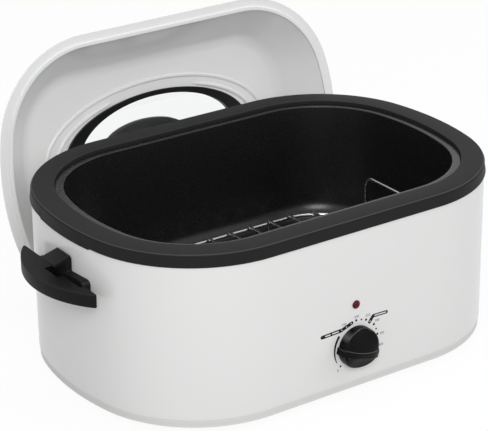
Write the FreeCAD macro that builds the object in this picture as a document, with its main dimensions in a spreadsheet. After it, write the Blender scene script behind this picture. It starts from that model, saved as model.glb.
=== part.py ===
import FreeCAD, Part
import math
import os
import re

import Sketcher
from FreeCAD import Vector

# Electric roaster oven, built standing on its feet.
# Frame: X along the body, -Y towards the control knob, Z up, millimetres.
# The origin is the centre of the base pan's underside; the feet reach just below it.
#
# The body, collar, liner, pan and lid all follow one oval outline: two straight long
# sides, two shallow end arcs and four corner arcs, tangent to each other. Every piece
# takes that outline with an inset of its own, so they nest in each other.

SIZES = {
    # the oval outline, at the outside of the collar
    "body_length": 530.0,
    "body_width": 370.0,
    "end_radius": 330.0,
    "corner_radius": 147.0,
    "rim_height": 209.0,
    # base pan and feet
    "base_inset": 2.4,
    "base_wall": 2.2,
    "base_floor": 2.5,
    "base_height": 11.5,
    "base_edge_radius": 8.0,
    "spigot_height": 7.0,
    "spigot_wall": 1.2,
    "foot_height": 4.0,
    "foot_radius": 13.0,
    "foot_pin": 4.0,
    "foot_lock": 1.0,
    "foot_edge": 1.5,
    "foot_x": 165.0,
    "foot_y": 108.0,
    "boss_radius": 8.0,
    "boss_x": 120.0,
    "boss_y": 70.0,
    "shield_height": 26.0,
    "shield_inset": 40.0,
    "shield_thickness": 0.8,
    "stud_radius": 2.5,
    "nut_radius": 4.6,
    "nut_height": 3.5,
    "spacer_radius": 5.0,
    "vent_length": 60.0,
    "vent_width": 5.0,
    "vent_pitch": 14.0,
    "vent_count": 5.0,
    "vent_y": 62.0,
    # outer shell
    "shell_inset": 1.7,
    "shell_wall": 0.8,
    "seat_gap": 0.2,
    # collar
    "collar_skirt": 15.0,
    "skirt_step": 1.5,
    "step_x": 205.0,
    "collar_wall": 1.4,
    "collar_top": 3.0,
    "collar_edge_radius": 3.0,
    "ledge_inset": 28.5,
    "ledge_drop": 5.5,
    "ledge_floor": 2.5,
    "mouth_inset": 36.0,
    "mouth_wall": 1.2,
    "mouth_depth": 16.0,
    "collar_boss_radius": 4.5,
    "collar_boss_inset": 14.0,
    "collar_boss_x": 36.0,
    "collar_boss_pitch": 72.0,
    "collar_screw_radius": 1.8,
    # liner
    "liner_wall": 1.0,
    "liner_height": 44.0,
    "liner_corner": 18.0,
    "liner_flange_drop": 14.0,
    "liner_flange_inset": 3.5,
    # heating ropes, their clips and the blanket
    "heater_radius": 3.0,
    "heater_low": 80.0,
    "heater_pitch": 22.0,
    "heater_tail": 16.0,
    "heater_gap": 36.0,
    "heater_bend": 7.0,
    "clip_wall": 0.8,
    "clip_width": 12.0,
    "clip_foot": 6.0,
    "clip_x": 78.0,
    "blanket_thickness": 15.4,
    "blanket_bottom": 46.0,
    "blanket_drop": 20.0,
    "blanket_window": 84.0,
    # roasting pan
    "pan_gap": 0.6,
    "pan_wall": 1.2,
    "pan_under_gap": 15.0,
    "pan_draft": 4.0,
    "pan_corner": 26.0,
    "pan_seat_gap": 0.3,
    "pan_rim_gap": 0.8,
    # wire rack in the pan
    "rack_wire_radius": 2.4,
    "rack_bar_radius": 1.8,
    "rack_inset": 72.0,
    "rack_lift": 12.0,
    "rack_pitch": 30.0,
    "rack_bar_count": 11.0,
    "rack_weld": 0.2,
    "rack_leg_x": 90.0,
    "rack_grip_height": 62.0,
    "rack_grip_width": 90.0,
    "rack_grip_bend": 12.0,
    # lid
    "lid_rim_inset": 20.4,
    "lid_lip_inset": 30.5,
    "lid_lip_width": 4.4,
    "lid_lip_depth": 3.0,
    "lid_flange": 1.5,
    "lid_wall": 1.3,
    "lid_wall_inset": 33.6,
    "lid_height": 46.0,
    "lid_slope": 42.0,
    "lid_crown_radius": 25.0,
    "lid_lean": 9.1,
    "lid_shift": 23.0,
    "lid_stand_gap": 0.3,
    "lid_body_gap": 2.0,
    "ridge_bead": 6.0,
    "ridge_height": 2.4,
    "ridge_end_gap": 23.8,
    "ridge_side_gap": 11.8,
    "arc_end_gap": 8.5,
    "arc_side_gap": 0.5,
    "arc_start": 27.0,
    # window in the lid
    "window_length": 269.0,
    "window_width": 132.0,
    "window_frame_end": 20.5,
    "window_frame_side": 6.0,
    "window_frame_height": 3.0,
    "window_glass": 4.0,
    "window_seat": 3.0,
    "window_gap": 0.4,
    # lid handle
    "grip_length": 118.0,
    "grip_width": 50.0,
    "grip_thickness": 13.0,
    "grip_clearance": 24.0,
    "grip_edge_radius": 5.5,
    "post_radius": 9.0,
    "post_x": 34.0,
    "gasket_radius": 11.0,
    "gasket_height": 1.0,
    "grip_screw_radius": 2.5,
    "grip_screw_depth": 16.0,
    # side handles
    "handle_reach": 35.0,
    "handle_half_length": 74.5,
    "handle_outer_radius": 130.0,
    "wing_top": 149.0,
    "wing_thickness": 13.0,
    "wing_edge_radius": 4.0,
    "wing_corner": 20.0,
    "wing_tip_gap": 2.0,
    "plate_half_length": 53.0,
    "plate_top": 157.0,
    "plate_thickness": 6.0,
    "plate_corner": 7.0,
    "tab_half_width": 14.0,
    "tab_top": 174.0,
    "hood_reach": 22.0,
    "hood_drop": 5.0,
    "hood_thickness": 4.0,
    "grip_slot_width": 9.0,
    "grip_slot_half_length": 48.0,
    "hood_window_half": 16.0,
    "hood_window_reach": 20.0,
    "handle_gap": 0.2,
    "handle_back": 16.0,
    "handle_screw_radius": 2.4,
    "handle_screw_y": 34.0,
    "handle_screw_height": 143.0,
    "handle_screw_depth": 3.0,
    "screw_head_height": 2.0,
    # control
    "knob_radius": 24.0,
    "knob_depth": 16.5,
    "knob_taper": 12.0,
    "knob_height": 55.0,
    "knob_turn": 17.8,
    "knob_bar": 9.0,
    "knob_bar_length": 53.0,
    "knob_bar_lift": 2.0,
    "knob_bar_proud": 1.0,
    "knob_edge": 3.0,
    "knob_scoop": 9.0,
    "knob_rim": 2.5,
    "knob_gap": 0.7,
    "knob_hollow_radius": 15.0,
    "knob_hollow_depth": 5.2,
    "shaft_radius": 3.0,
    "shaft_gap": 0.06,
    "shaft_in_knob": 14.0,
    "bushing_radius": 4.7,
    "bushing_length": 4.2,
    "bushing_nut_radius": 7.5,
    "bushing_nut_height": 2.4,
    "thermostat_width": 34.0,
    "thermostat_height": 28.0,
    "thermostat_depth": 20.0,
    "thermostat_corner": 3.0,
    "lamp_height": 105.5,
    "lamp_radius": 4.2,
    "lamp_flange_radius": 5.0,
    "lamp_flange": 1.0,
    "lamp_dome": 1.8,
    "lamp_body_length": 20.0,
    "lamp_clip": 1.0,
    # supply
    "cord_x": 60.0,
    "cord_height": 30.0,
    "cord_hole_radius": 8.0,
    "cord_bore_radius": 4.5,
    "cord_flange_radius": 11.0,
    "cord_flange": 2.0,
    "terminal_length": 40.0,
    "terminal_depth": 16.0,
    "terminal_height": 14.0,
    "terminal_well": 3.5,
    "terminal_gap": 10.0,
    "fuse_radius": 2.5,
    "fuse_length": 24.0,
    "fuse_y": 20.0,
    "strap_width": 10.0,
    "strap_wall": 0.8,
    "strap_ear": 7.0,
}

# Sizes that follow from the driving ones.
FITS = {
    "half_length": "body_length / 2",
    "half_width": "body_width / 2",
    "shell_inner": "shell_inset + shell_wall",
    "shell_bottom": "base_height + seat_gap",
    "shell_top": "rim_height - collar_top - seat_gap",
    "shell_face": "half_width - shell_inset",
    "shell_back": "half_width - shell_inner",
    "base_inner": "base_inset + base_wall + spigot_wall",
    "vent_start": "-(vent_pitch * (vent_count - 1) + vent_width) / 2",
    "spigot_inset": "shell_inner + seat_gap",
    "mouth_inner": "mouth_inset + mouth_wall",
    "ledge_height": "rim_height - ledge_drop",
    "liner_inset": "mouth_inset - seat_gap - liner_wall",
    "liner_inner": "liner_inset + liner_wall",
    "liner_top": "rim_height - liner_flange_drop",
    "ledge_back": "ledge_inset - ledge_floor",
    "collar_low": "rim_height - ledge_drop - ledge_floor",
    "collar_boss_y": "half_width - collar_boss_inset",
    "heater_inset": "liner_inset - heater_radius - seat_gap",
    "heater_tail_y": "half_width - heater_inset + heater_bend + heater_tail",
    "clip_crown": "heater_inset - heater_radius - seat_gap - clip_wall",
    "blanket_inner": "clip_crown - seat_gap",
    "blanket_inset": "blanket_inner - blanket_thickness",
    "blanket_top": "rim_height - blanket_drop",
    "pan_outer": "mouth_inner + pan_gap",
    "pan_inner": "pan_outer + pan_wall",
    "pan_flange_inset": "ledge_inset + pan_rim_gap",
    "pan_flange_bottom": "ledge_height + pan_seat_gap",
    "pan_top": "pan_flange_bottom + pan_wall",
    "pan_depth": "pan_top - liner_height - liner_wall - pan_under_gap",
    "pan_floor": "pan_top - pan_depth + pan_wall",
    "rack_plane": "pan_floor + rack_lift",
    "rack_bar_plane": "rack_plane + rack_wire_radius + rack_bar_radius + rack_weld",
    "bail_foot": "rack_plane + rack_wire_radius + rack_weld",
    "rack_end": "half_length - end_radius",
    "bail_reach": "sqrt((end_radius - rack_inset)^2 - (rack_grip_width / 2)^2)",
    "bail_x": "rack_end + bail_reach",
    "lid_inner": "lid_wall_inset + lid_wall",
    "lid_ceiling": "lid_height - lid_wall",
    "frame_bottom": "lid_ceiling - window_frame_height - pan_seat_gap",
    "glass_bottom": "lid_ceiling",
    "glass_top": "glass_bottom + window_glass",
    "hole_length": "window_length - 2 * window_seat",
    "hole_width": "window_width - 2 * window_seat",
    "sight_length": "window_length - 2 * window_frame_end",
    "sight_width": "window_width - 2 * window_frame_side",
    "ridge_length": "window_length + 2 * (ridge_end_gap + ridge_bead)",
    "ridge_width": "window_width + 2 * (ridge_side_gap + ridge_bead)",
    "arc_length": "window_length + 2 * (arc_end_gap + ridge_bead)",
    "arc_width": "window_width + 2 * (arc_side_gap + ridge_bead)",
    "handle_foot": "glass_top + gasket_height + seat_gap",
    "grip_bottom": "glass_top + grip_clearance",
    "washer_bottom": "glass_bottom - gasket_height - seat_gap",
    "lid_lip_inner": "lid_lip_inset + lid_lip_width",
    "lid_foot": "(half_width - lid_lip_inset) * sin(lid_lean)",
    "lid_rise": "(half_width - lid_rim_inset) * cos(lid_lean)",
    "lid_park_y": "half_width + lid_body_gap + lid_foot + lid_lip_depth * cos(lid_lean)",
    "lid_park_z": "lid_stand_gap - foot_height + lid_rise + lid_flange * sin(lid_lean)",
    "wing_bottom": "wing_top - wing_thickness",
    "handle_inset": "shell_inset - handle_gap",
    "handle_out": "handle_inset - plate_thickness",
    "wall_x": "half_length - handle_inset",
    "screw_clear": "handle_screw_y + 2 * handle_screw_radius",
    "screw_reach": "sqrt((end_radius - shell_inner)^2 - screw_clear^2)",
    "screw_face": "half_length - end_radius + screw_reach - seat_gap",
    "thermostat_face": "half_width - shell_inner - seat_gap",
    "shaft_start": "thermostat_face - thermostat_depth / 2",
    "knob_back": "shell_face + knob_gap",
    "knob_face": "knob_radius - knob_depth * tan(knob_taper)",
}

ORIGIN_PLANES = {"XY": "XY_Plane", "XZ": "XZ_Plane", "YZ": "YZ_Plane"}

doc = FreeCAD.newDocument("roaster_oven")


def formula(text):
    """Put the sheet's name before every size named in an expression."""
    def named(match):
        word = match.group(0)
        if word in SIZES:
            return "Sizes." + word
        if word in FITS:
            return "Fits." + word
        return word
    return re.sub(r"[a-z][a-z_]*", named, text)


def fill_sheet(name, rows):
    sheet = doc.addObject("Spreadsheet::Sheet", name)
    for line, (alias, value) in enumerate(rows.items(), start=1):
        text = "=" + formula(value) if isinstance(value, str) else repr(value)
        sheet.set("A%d" % line, alias)
        sheet.set("B%d" % line, text)
        sheet.setAlias("B%d" % line, alias)
    return sheet


sizes = fill_sheet("Sizes", SIZES)
fits = fill_sheet("Fits", FITS)
doc.recompute()


def size(name):
    """The present value of a named size."""
    return float(sizes.get(name) if name in SIZES else fits.get(name))


def new_body(label):
    body = doc.addObject("PartDesign::Body", label)
    body.Label = label
    return body


def plane_of(body, plane):
    role = ORIGIN_PLANES[plane]
    return [item for item in body.Origin.OriginFeatures if item.Role == role][0]


def new_sketch(body, plane, along=("0", "0", "0")):
    """A sketch on an origin plane of the body, shifted by three expressions."""
    sketch = body.newObject("Sketcher::SketchObject", body.Label + "_sketch")
    sketch.AttachmentSupport = (plane_of(body, plane), [""])
    sketch.MapMode = "FlatFace"
    for axis, shift in zip("xyz", along):
        if shift != "0":
            sketch.setExpression("AttachmentOffset.Base." + axis, formula(shift))
    return sketch


def bind(sketch, rows):
    """Add driving constraints; each row is a constraint and the expression it follows."""
    for constraint, text in rows:
        index = sketch.addConstraint(constraint)
        sketch.setExpression("Constraints[%d]" % index, formula(text))


def oval(sketch, inset=None):
    """The oval outline, moved in by the named inset."""
    gap = size(inset) if inset else 0
    less = " - " + inset if inset else ""
    end, corner = size("end_radius"), size("corner_radius")
    end_x = size("half_length") - end
    corner_y = size("half_width") - corner
    reach = math.sqrt((end - corner) ** 2 - corner_y ** 2)
    corner_x = end_x + reach
    turn = math.atan2(corner_y, reach)
    side = size("half_width") - gap
    quarter, half = math.pi / 2, math.pi

    def arc(x, y, radius, start, stop):
        circle = Part.Circle(Vector(x, y, 0), Vector(0, 0, 1), radius)
        return Part.ArcOfCircle(circle, start, stop)

    first = sketch.GeometryCount
    sketch.addGeometry([
        Part.LineSegment(Vector(-corner_x, -side, 0), Vector(corner_x, -side, 0)),
        arc(corner_x, -corner_y, corner - gap, -quarter, -turn),
        arc(end_x, 0, end - gap, -turn, turn),
        arc(corner_x, corner_y, corner - gap, turn, quarter),
        Part.LineSegment(Vector(corner_x, side, 0), Vector(-corner_x, side, 0)),
        arc(-corner_x, corner_y, corner - gap, quarter, half - turn),
        arc(-end_x, 0, end - gap, half - turn, half + turn),
        arc(-corner_x, -corner_y, corner - gap, half + turn, 3 * quarter),
    ], False)
    rule = Sketcher.Constraint
    joined = [rule("Tangent", first + i, 2, first + (i + 1) % 8, 1) for i in range(8)]
    sketch.addConstraint(joined + [
        rule("Equal", first + 1, first + 3),
        rule("Equal", first + 1, first + 5),
        rule("Equal", first + 2, first + 6),
        rule("PointOnObject", first + 2, 3, -1),
        rule("Symmetric", first + 2, 3, first + 6, 3, -1, 1),
        rule("Symmetric", first, 1, first, 2, -2),
        rule("Symmetric", first, 1, first + 4, 2, -1),
    ])
    bind(sketch, [
        (rule("DistanceX", -1, 1, first + 2, 3, end_x), "half_length - end_radius"),
        (rule("DistanceY", first, 1, -1, 1, side), "half_width" + less),
        (rule("Radius", first + 1, corner - gap), "corner_radius" + less),
        (rule("Radius", first + 2, end - gap), "end_radius" + less),
    ])
    return sketch


def circle(sketch, x, y, radius):
    """A circle whose centre and radius follow expressions."""
    rule = Sketcher.Constraint
    item = sketch.addGeometry(Part.Circle(Vector(1, 1, 0), Vector(0, 0, 1), 2), False)
    rows = [(rule("Radius", item, 2), radius)]
    if x == "0" and y == "0":
        sketch.addConstraint(rule("Coincident", item, 3, -1, 1))
    else:
        rows.append((rule("DistanceX", -1, 1, item, 3, 1), x))
        rows.append((rule("DistanceY", -1, 1, item, 3, 1), y))
    bind(sketch, rows)
    return sketch


def polygon(sketch, corners):
    """A closed run of straight lines; each corner is a pair of expressions."""
    rule = Sketcher.Constraint
    count = len(corners)
    # rough start on a circle; the constraints then place each corner
    start = [Vector(40 * math.cos(2 * math.pi * i / count), 40 * math.sin(2 * math.pi * i / count), 0)
             for i in range(count)]
    first = sketch.GeometryCount
    lines = [Part.LineSegment(start[i], start[(i + 1) % count]) for i in range(count)]
    sketch.addGeometry(lines, False)
    sketch.addConstraint([rule("Coincident", first + i, 2, first + (i + 1) % count, 1)
                          for i in range(count)])
    for i, (x, y) in enumerate(corners):
        bind(sketch, [(rule("DistanceX", -1, 1, first + i, 1, start[i].x), x),
                      (rule("DistanceY", -1, 1, first + i, 1, start[i].y), y)])
    return sketch


def rectangle(sketch, left, right, low, high):
    return polygon(sketch, [(left, low), (right, low), (right, high), (left, high)])


def ellipse(sketch, length, width):
    """An ellipse centred on the sketch's origin, its long axis along X."""
    rule = Sketcher.Constraint
    shape = Part.Ellipse(Vector(0, 0, 0), 40, 20)
    item = sketch.addGeometry(shape, False)
    sketch.exposeInternalGeometry(item)
    # the two axis lines come first among the exposed geometry
    major, minor = item + 1, item + 2
    sketch.addConstraint([rule("Coincident", item, 3, -1, 1), rule("Horizontal", major)])
    bind(sketch, [(rule("Distance", major, 1, major, 2, 80), length),
                  (rule("Distance", minor, 1, minor, 2, 40), width)])
    return sketch


def feature(body, kind, label):
    item = body.newObject("PartDesign::" + kind, body.Label + "_" + label)
    return item


def pad(body, sketch, length, down=False, both=False, draft=None):
    """Raise a sketch along its normal, or against it with down."""
    item = feature(body, "Pad", "pad")
    item.Profile = sketch
    item.setExpression("Length", formula(length))
    item.Reversed = down
    item.Midplane = both
    if draft:
        item.setExpression("TaperAngle", formula(draft))
    sketch.Visibility = False
    return item


def pocket(body, sketch, length=None, up=False, both=False, draft=None):
    """Cut against the sketch's normal, or along it with up; through all with no length."""
    item = feature(body, "Pocket", "pocket")
    item.Profile = sketch
    if length is None:
        item.Type = "ThroughAll"
    else:
        item.setExpression("Length", formula(length))
    item.Reversed = up
    item.Midplane = both
    if draft:
        item.setExpression("TaperAngle", formula(draft))
    return item


def fillet(body, chosen, radius):
    """Round the edges of the body's tip that the test picks out."""
    doc.recompute()
    tip = body.Tip
    names = ["Edge%d" % (i + 1) for i, edge in enumerate(tip.Shape.Edges) if chosen(edge)]
    item = feature(body, "Fillet", "round")
    item.Base = (tip, names)
    item.setExpression("Radius", formula(radius))
    return item


def hollow_out(body, level, wall):
    """Shell the body's tip to a wall, open at the flat face on the named level."""
    doc.recompute()
    tip = body.Tip
    height = size(level)
    names = ["Face%d" % (i + 1) for i, face in enumerate(tip.Shape.Faces)
             if abs(face.BoundBox.ZMin - height) < 1e-3 and abs(face.BoundBox.ZMax - height) < 1e-3]
    item = feature(body, "Thickness", "shell")
    item.Base = (tip, names)
    item.setExpression("Value", formula(wall))
    item.Mode = "Skin"
    item.Join = "Arc"
    item.Reversed = True
    return item


def scoop(body, tool):
    """Take another body's form out of this one."""
    item = feature(body, "Boolean", "scoop")
    item.Type = "Cut"
    item.setObjects([tool])
    body.Tip = item
    return item


def at_height(name, tolerance=1e-3):
    """Picks edges that lie level at a named height."""
    level = size(name)

    def chosen(edge):
        box = edge.BoundBox
        return abs(box.ZMin - level) < tolerance and abs(box.ZMax - level) < tolerance
    return chosen


def mirrored(body, items, planes):
    """Repeat features across one or more origin planes."""
    pattern = feature(body, "MultiTransform", "pattern")
    pattern.Originals = items
    steps = []
    for plane in planes:
        step = body.newObject("PartDesign::Mirrored", body.Label + "_mirror")
        step.MirrorPlane = (plane_of(body, plane), [""])
        steps.append(step)
    pattern.Transformations = steps
    body.Tip = pattern
    return pattern


def ring(body, outer, inner, low, high):
    """A level ring between two insets of the oval, from low to high."""
    sketch = new_sketch(body, "XY", ("0", "0", low))
    oval(sketch, outer)
    oval(sketch, inner)
    return pad(body, sketch, "(%s) - (%s)" % (high, low))


def plate(body, outer, low, high):
    sketch = oval(new_sketch(body, "XY", ("0", "0", low)), outer)
    return pad(body, sketch, "(%s) - (%s)" % (high, low))


def post(body, x, y, radius, low, high):
    """An upright cylinder."""
    sketch = circle(new_sketch(body, "XY", ("0", "0", low)), x, y, radius)
    return pad(body, sketch, "(%s) - (%s)" % (high, low))


def drill(body, x, y, radius, low, high):
    """An upright hole from low to high."""
    sketch = circle(new_sketch(body, "XY", ("0", "0", low)), x, y, radius)
    return pocket(body, sketch, "(%s) - (%s)" % (high, low), up=True)


# ---------------------------------------------------------------- base

def base_pan():
    """Moulded tray that closes the body from below, with a spigot inside the shell."""
    body = new_body("base_pan")
    plate(body, "base_inset", "0", "base_height")
    fillet(body, lambda edge: edge.BoundBox.ZMax < 1e-3, "base_edge_radius")
    hollow = oval(new_sketch(body, "XY", ("0", "0", "base_height")), "base_inner")
    pocket(body, hollow, "base_height - base_floor")
    ring(body, "spigot_inset", "base_inner", "base_floor", "base_height + spigot_height")
    bosses = [post(body, "boss_x", "boss_y", "boss_radius", "0", "shield_height")]
    mirrored(body, bosses, ("XZ", "YZ"))
    bores = [drill(body, "boss_x", "boss_y", "stud_radius + seat_gap", "0", "shield_height"),
             drill(body, "boss_x", "boss_y", "nut_radius + 2 * seat_gap", "0",
                   "nut_height + 2 * seat_gap"),
             drill(body, "foot_x", "foot_y", "foot_pin + seat_gap / 2", "0", "base_floor")]
    mirrored(body, bores, ("XZ", "YZ"))
    vents = rectangle(new_sketch(body, "XY"), "vent_start", "vent_start + vent_width",
                      "vent_y - vent_length / 2", "vent_y + vent_length / 2")
    slot = pocket(body, vents, "base_floor", up=True)
    pattern = feature(body, "MultiTransform", "vents")
    pattern.Originals = [slot]
    row = body.newObject("PartDesign::LinearPattern", "vent_row")
    row.Direction = (vents, ["H_Axis"])
    row.setExpression("Length", formula("vent_pitch * (vent_count - 1)"))
    row.setExpression("Occurrences", formula("vent_count"))
    bank = body.newObject("PartDesign::Mirrored", "vent_bank")
    bank.MirrorPlane = (plane_of(body, "XZ"), [""])
    pattern.Transformations = [row, bank]
    body.Tip = pattern
    return body


def foot(name, side, front):
    """Rubber foot with a pin pushed through the base."""
    body = new_body(name)
    x = "%d * foot_x" % side
    y = "%d * foot_y" % front
    pin = circle(new_sketch(body, "XY"), "0", "0", "foot_pin")
    pad(body, pin, "base_floor + foot_lock")
    sole = circle(new_sketch(body, "XY"), "0", "0", "foot_radius")
    pad(body, sole, "foot_height", down=True)
    fillet(body, lambda edge: edge.BoundBox.ZMax < -size("foot_height") + 1e-3, "foot_edge")
    lock = circle(new_sketch(body, "XY", ("0", "0", "base_floor + seat_gap / 2")), "0", "0",
                  "foot_pin + foot_lock")
    pad(body, lock, "foot_lock")
    body.setExpression("Placement.Base.x", formula(x))
    body.setExpression("Placement.Base.y", formula(y))
    return body


def heat_shield():
    """Reflector plate between the liner and the base, resting on the base's bosses."""
    body = new_body("heat_shield")
    plate(body, "shield_inset", "shield_height", "shield_height + shield_thickness")
    hole = [drill(body, "boss_x", "boss_y", "stud_radius + seat_gap", "shield_height",
                  "shield_height + shield_thickness")]
    mirrored(body, hole, ("XZ", "YZ"))
    return body


def four_posts(name, radius, low, high, bore=None):
    """Four alike upright pieces over the base's bosses, as separate solids."""
    body = new_body(name)
    items = [post(body, "boss_x", "boss_y", radius, low, high)]
    if bore:
        items.append(drill(body, "boss_x", "boss_y", bore, low, high))
    mirrored(body, items, ("XZ", "YZ"))
    return body


# ---------------------------------------------------------------- shell and collar

def front_hole(body, x, height, radius):
    """A round hole through the front wall only."""
    sketch = circle(new_sketch(body, "XZ", ("0", "0", "half_width / 2")), x, height, radius)
    return pocket(body, sketch, "half_width", up=True)


def outer_shell():
    """Painted steel wrap: a straight oval band."""
    body = new_body("outer_shell")
    ring(body, "shell_inset", "shell_inner", "shell_bottom", "shell_top")
    front_hole(body, "0", "knob_height", "bushing_radius + seat_gap")
    front_hole(body, "0", "lamp_height", "lamp_radius + seat_gap")
    back = circle(new_sketch(body, "XZ", ("0", "0", "-half_width / 2")), "cord_x", "cord_height",
                  "cord_hole_radius")
    pocket(body, back, "half_width")
    side = new_sketch(body, "YZ")
    circle(side, "handle_screw_y", "handle_screw_height", "handle_screw_radius + seat_gap")
    circle(side, "-handle_screw_y", "handle_screw_height", "handle_screw_radius + seat_gap")
    pocket(body, side, both=True)
    return body


def top_collar():
    """Moulded rim over the shell: flat top, sunk ledge for the pan, lipped mouth."""
    body = new_body("top_collar")
    plate(body, None, "collar_low", "rim_height")
    fillet(body, at_height("rim_height"), "collar_edge_radius")
    mouth = oval(new_sketch(body, "XY", ("0", "0", "collar_low")), "mouth_inner")
    pocket(body, mouth, "rim_height - collar_low", up=True)
    under = new_sketch(body, "XY", ("0", "0", "collar_low"))
    oval(under, "collar_wall")
    oval(under, "ledge_back")
    pocket(body, under, "rim_height - collar_low - collar_top", up=True)
    sunk = oval(new_sketch(body, "XY", ("0", "0", "rim_height")), "ledge_inset")
    pocket(body, sunk, "ledge_drop")
    ring(body, None, "collar_wall", "rim_height - collar_skirt - skirt_step", "collar_low")
    trim = rectangle(new_sketch(body, "XY", ("0", "0", "rim_height - collar_skirt - skirt_step")),
                     "-step_x", "step_x", "-body_width", "body_width")
    pocket(body, trim, "skirt_step", up=True)
    ring(body, "mouth_inset", "mouth_inner", "rim_height - mouth_depth", "collar_low")
    bosses = []
    bores = []
    for x in ("collar_boss_x", "collar_boss_x + collar_boss_pitch"):
        bosses.append(post(body, x, "collar_boss_y", "collar_boss_radius",
                           "liner_top + seat_gap", "rim_height - collar_top"))
    mirrored(body, bosses, ("XZ", "YZ"))
    for x in ("collar_boss_x", "collar_boss_x + collar_boss_pitch"):
        bores.append(drill(body, x, "collar_boss_y", "collar_screw_radius + seat_gap / 2",
                           "liner_top + seat_gap", "rim_height - collar_top"))
    mirrored(body, bores, ("XZ", "YZ"))
    return body


def screws(name, places, head_radius, head_height, shank_radius, shank_length, head_level, planes):
    """Round-headed screws pointing up, repeated across the named planes."""
    body = new_body(name)
    items = []
    for x, y in places:
        items.append(post(body, x, y, head_radius, head_level + " - " + head_height, head_level))
        items.append(post(body, x, y, shank_radius, head_level,
                          "%s + %s" % (head_level, shank_length)))
    mirrored(body, items, planes)
    return body


# ---------------------------------------------------------------- liner and heating

def liner():
    """Heating well: a deep oval tub whose rim is screwed up under the collar."""
    body = new_body("liner")
    plate(body, "liner_inset", "liner_height", "liner_top")
    fillet(body, at_height("liner_height"), "liner_corner")
    hollow_out(body, "liner_top", "liner_wall")
    ring(body, "liner_flange_inset", "liner_inner", "liner_top - liner_wall", "liner_top")
    holes = [drill(body, x, "collar_boss_y", "collar_screw_radius + seat_gap",
                   "liner_top - liner_wall", "liner_top")
             for x in ("collar_boss_x", "collar_boss_x + collar_boss_pitch")]
    mirrored(body, holes, ("XZ", "YZ"))
    return body


def heater(name, height):
    """Sheathed heating rope round the liner, its two tails turned out at the back."""
    body = new_body(name)
    path = new_sketch(body, "XY", ("0", "0", height))
    open_oval(path, "heater_inset")
    spot = new_sketch(body, "XZ", ("0", "0", "-heater_tail_y"))
    circle(spot, "-heater_gap / 2", height, "heater_radius")
    item = feature(body, "AdditivePipe", "rope")
    item.Profile = spot
    item.Spine = path
    return body


def open_oval(sketch, inset):
    """The oval, open at the back, with both ends turned outward by an arc and a tail."""
    gap = size(inset)
    end, corner = size("end_radius"), size("corner_radius")
    end_x = size("half_length") - end
    corner_y = size("half_width") - corner
    reach = math.sqrt((end - corner) ** 2 - corner_y ** 2)
    corner_x = end_x + reach
    turn = math.atan2(corner_y, reach)
    side = size("half_width") - gap
    bend = size("heater_bend")
    tail_x = size("heater_gap") / 2
    tail_y = size("heater_tail_y")
    quarter, half = math.pi / 2, math.pi

    def arc(x, y, radius, start, stop):
        ring_line = Part.Circle(Vector(x, y, 0), Vector(0, 0, 1), radius)
        return Part.ArcOfCircle(ring_line, start, stop)

    sketch.addGeometry([
        Part.LineSegment(Vector(-tail_x, tail_y, 0), Vector(-tail_x, side + bend, 0)),
        arc(-tail_x - bend, side + bend, bend, -quarter, 0),
        Part.LineSegment(Vector(-tail_x - bend, side, 0), Vector(-corner_x, side, 0)),
        arc(-corner_x, corner_y, corner - gap, quarter, half - turn),
        arc(-end_x, 0, end - gap, half - turn, half + turn),
        arc(-corner_x, -corner_y, corner - gap, half + turn, 3 * quarter),
        Part.LineSegment(Vector(-corner_x, -side, 0), Vector(corner_x, -side, 0)),
        arc(corner_x, -corner_y, corner - gap, -quarter, -turn),
        arc(end_x, 0, end - gap, -turn, turn),
        arc(corner_x, corner_y, corner - gap, turn, quarter),
        Part.LineSegment(Vector(corner_x, side, 0), Vector(tail_x + bend, side, 0)),
        arc(tail_x + bend, side + bend, bend, half, 3 * quarter),
        Part.LineSegment(Vector(tail_x, side + bend, 0), Vector(tail_x, tail_y, 0)),
    ], False)
    rule = Sketcher.Constraint
    sketch.addConstraint([
        rule("Tangent", 0, 2, 1, 2), rule("Tangent", 1, 1, 2, 1), rule("Tangent", 2, 2, 3, 1),
        rule("Tangent", 3, 2, 4, 1), rule("Tangent", 4, 2, 5, 1), rule("Tangent", 5, 2, 6, 1),
        rule("Tangent", 6, 2, 7, 1), rule("Tangent", 7, 2, 8, 1), rule("Tangent", 8, 2, 9, 1),
        rule("Tangent", 9, 2, 10, 1), rule("Tangent", 10, 2, 11, 2), rule("Tangent", 11, 1, 12, 1),
        rule("Vertical", 0), rule("Vertical", 12), rule("Horizontal", 2), rule("Horizontal", 6),
        rule("Horizontal", 10),
        rule("PointOnObject", 8, 3, -1), rule("PointOnObject", 4, 3, -1),
        rule("Equal", 3, 5), rule("Equal", 9, 7), rule("Equal", 4, 8), rule("Equal", 1, 11),
        rule("Equal", 3, 9),
    ])
    bind(sketch, [
        (rule("DistanceX", -1, 1, 8, 3, end_x), "half_length - end_radius"),
        (rule("DistanceX", 4, 3, -1, 1, end_x), "half_length - end_radius"),
        (rule("DistanceY", 6, 1, -1, 1, side), "half_width - " + inset),
        (rule("DistanceY", -1, 1, 2, 2, side), "half_width - " + inset),
        (rule("DistanceY", -1, 1, 10, 1, side), "half_width - " + inset),
        (rule("Radius", 8, end - gap), "end_radius - " + inset),
        (rule("Radius", 9, corner - gap), "corner_radius - " + inset),
        (rule("Radius", 11, bend), "heater_bend"),
        (rule("DistanceX", -1, 1, 12, 2, tail_x), "heater_gap / 2"),
        (rule("DistanceX", 0, 1, -1, 1, tail_x), "heater_gap / 2"),
        (rule("DistanceY", -1, 1, 12, 2, tail_y), "heater_tail_y"),
        (rule("DistanceY", -1, 1, 0, 1, tail_y), "heater_tail_y"),
    ])


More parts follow.
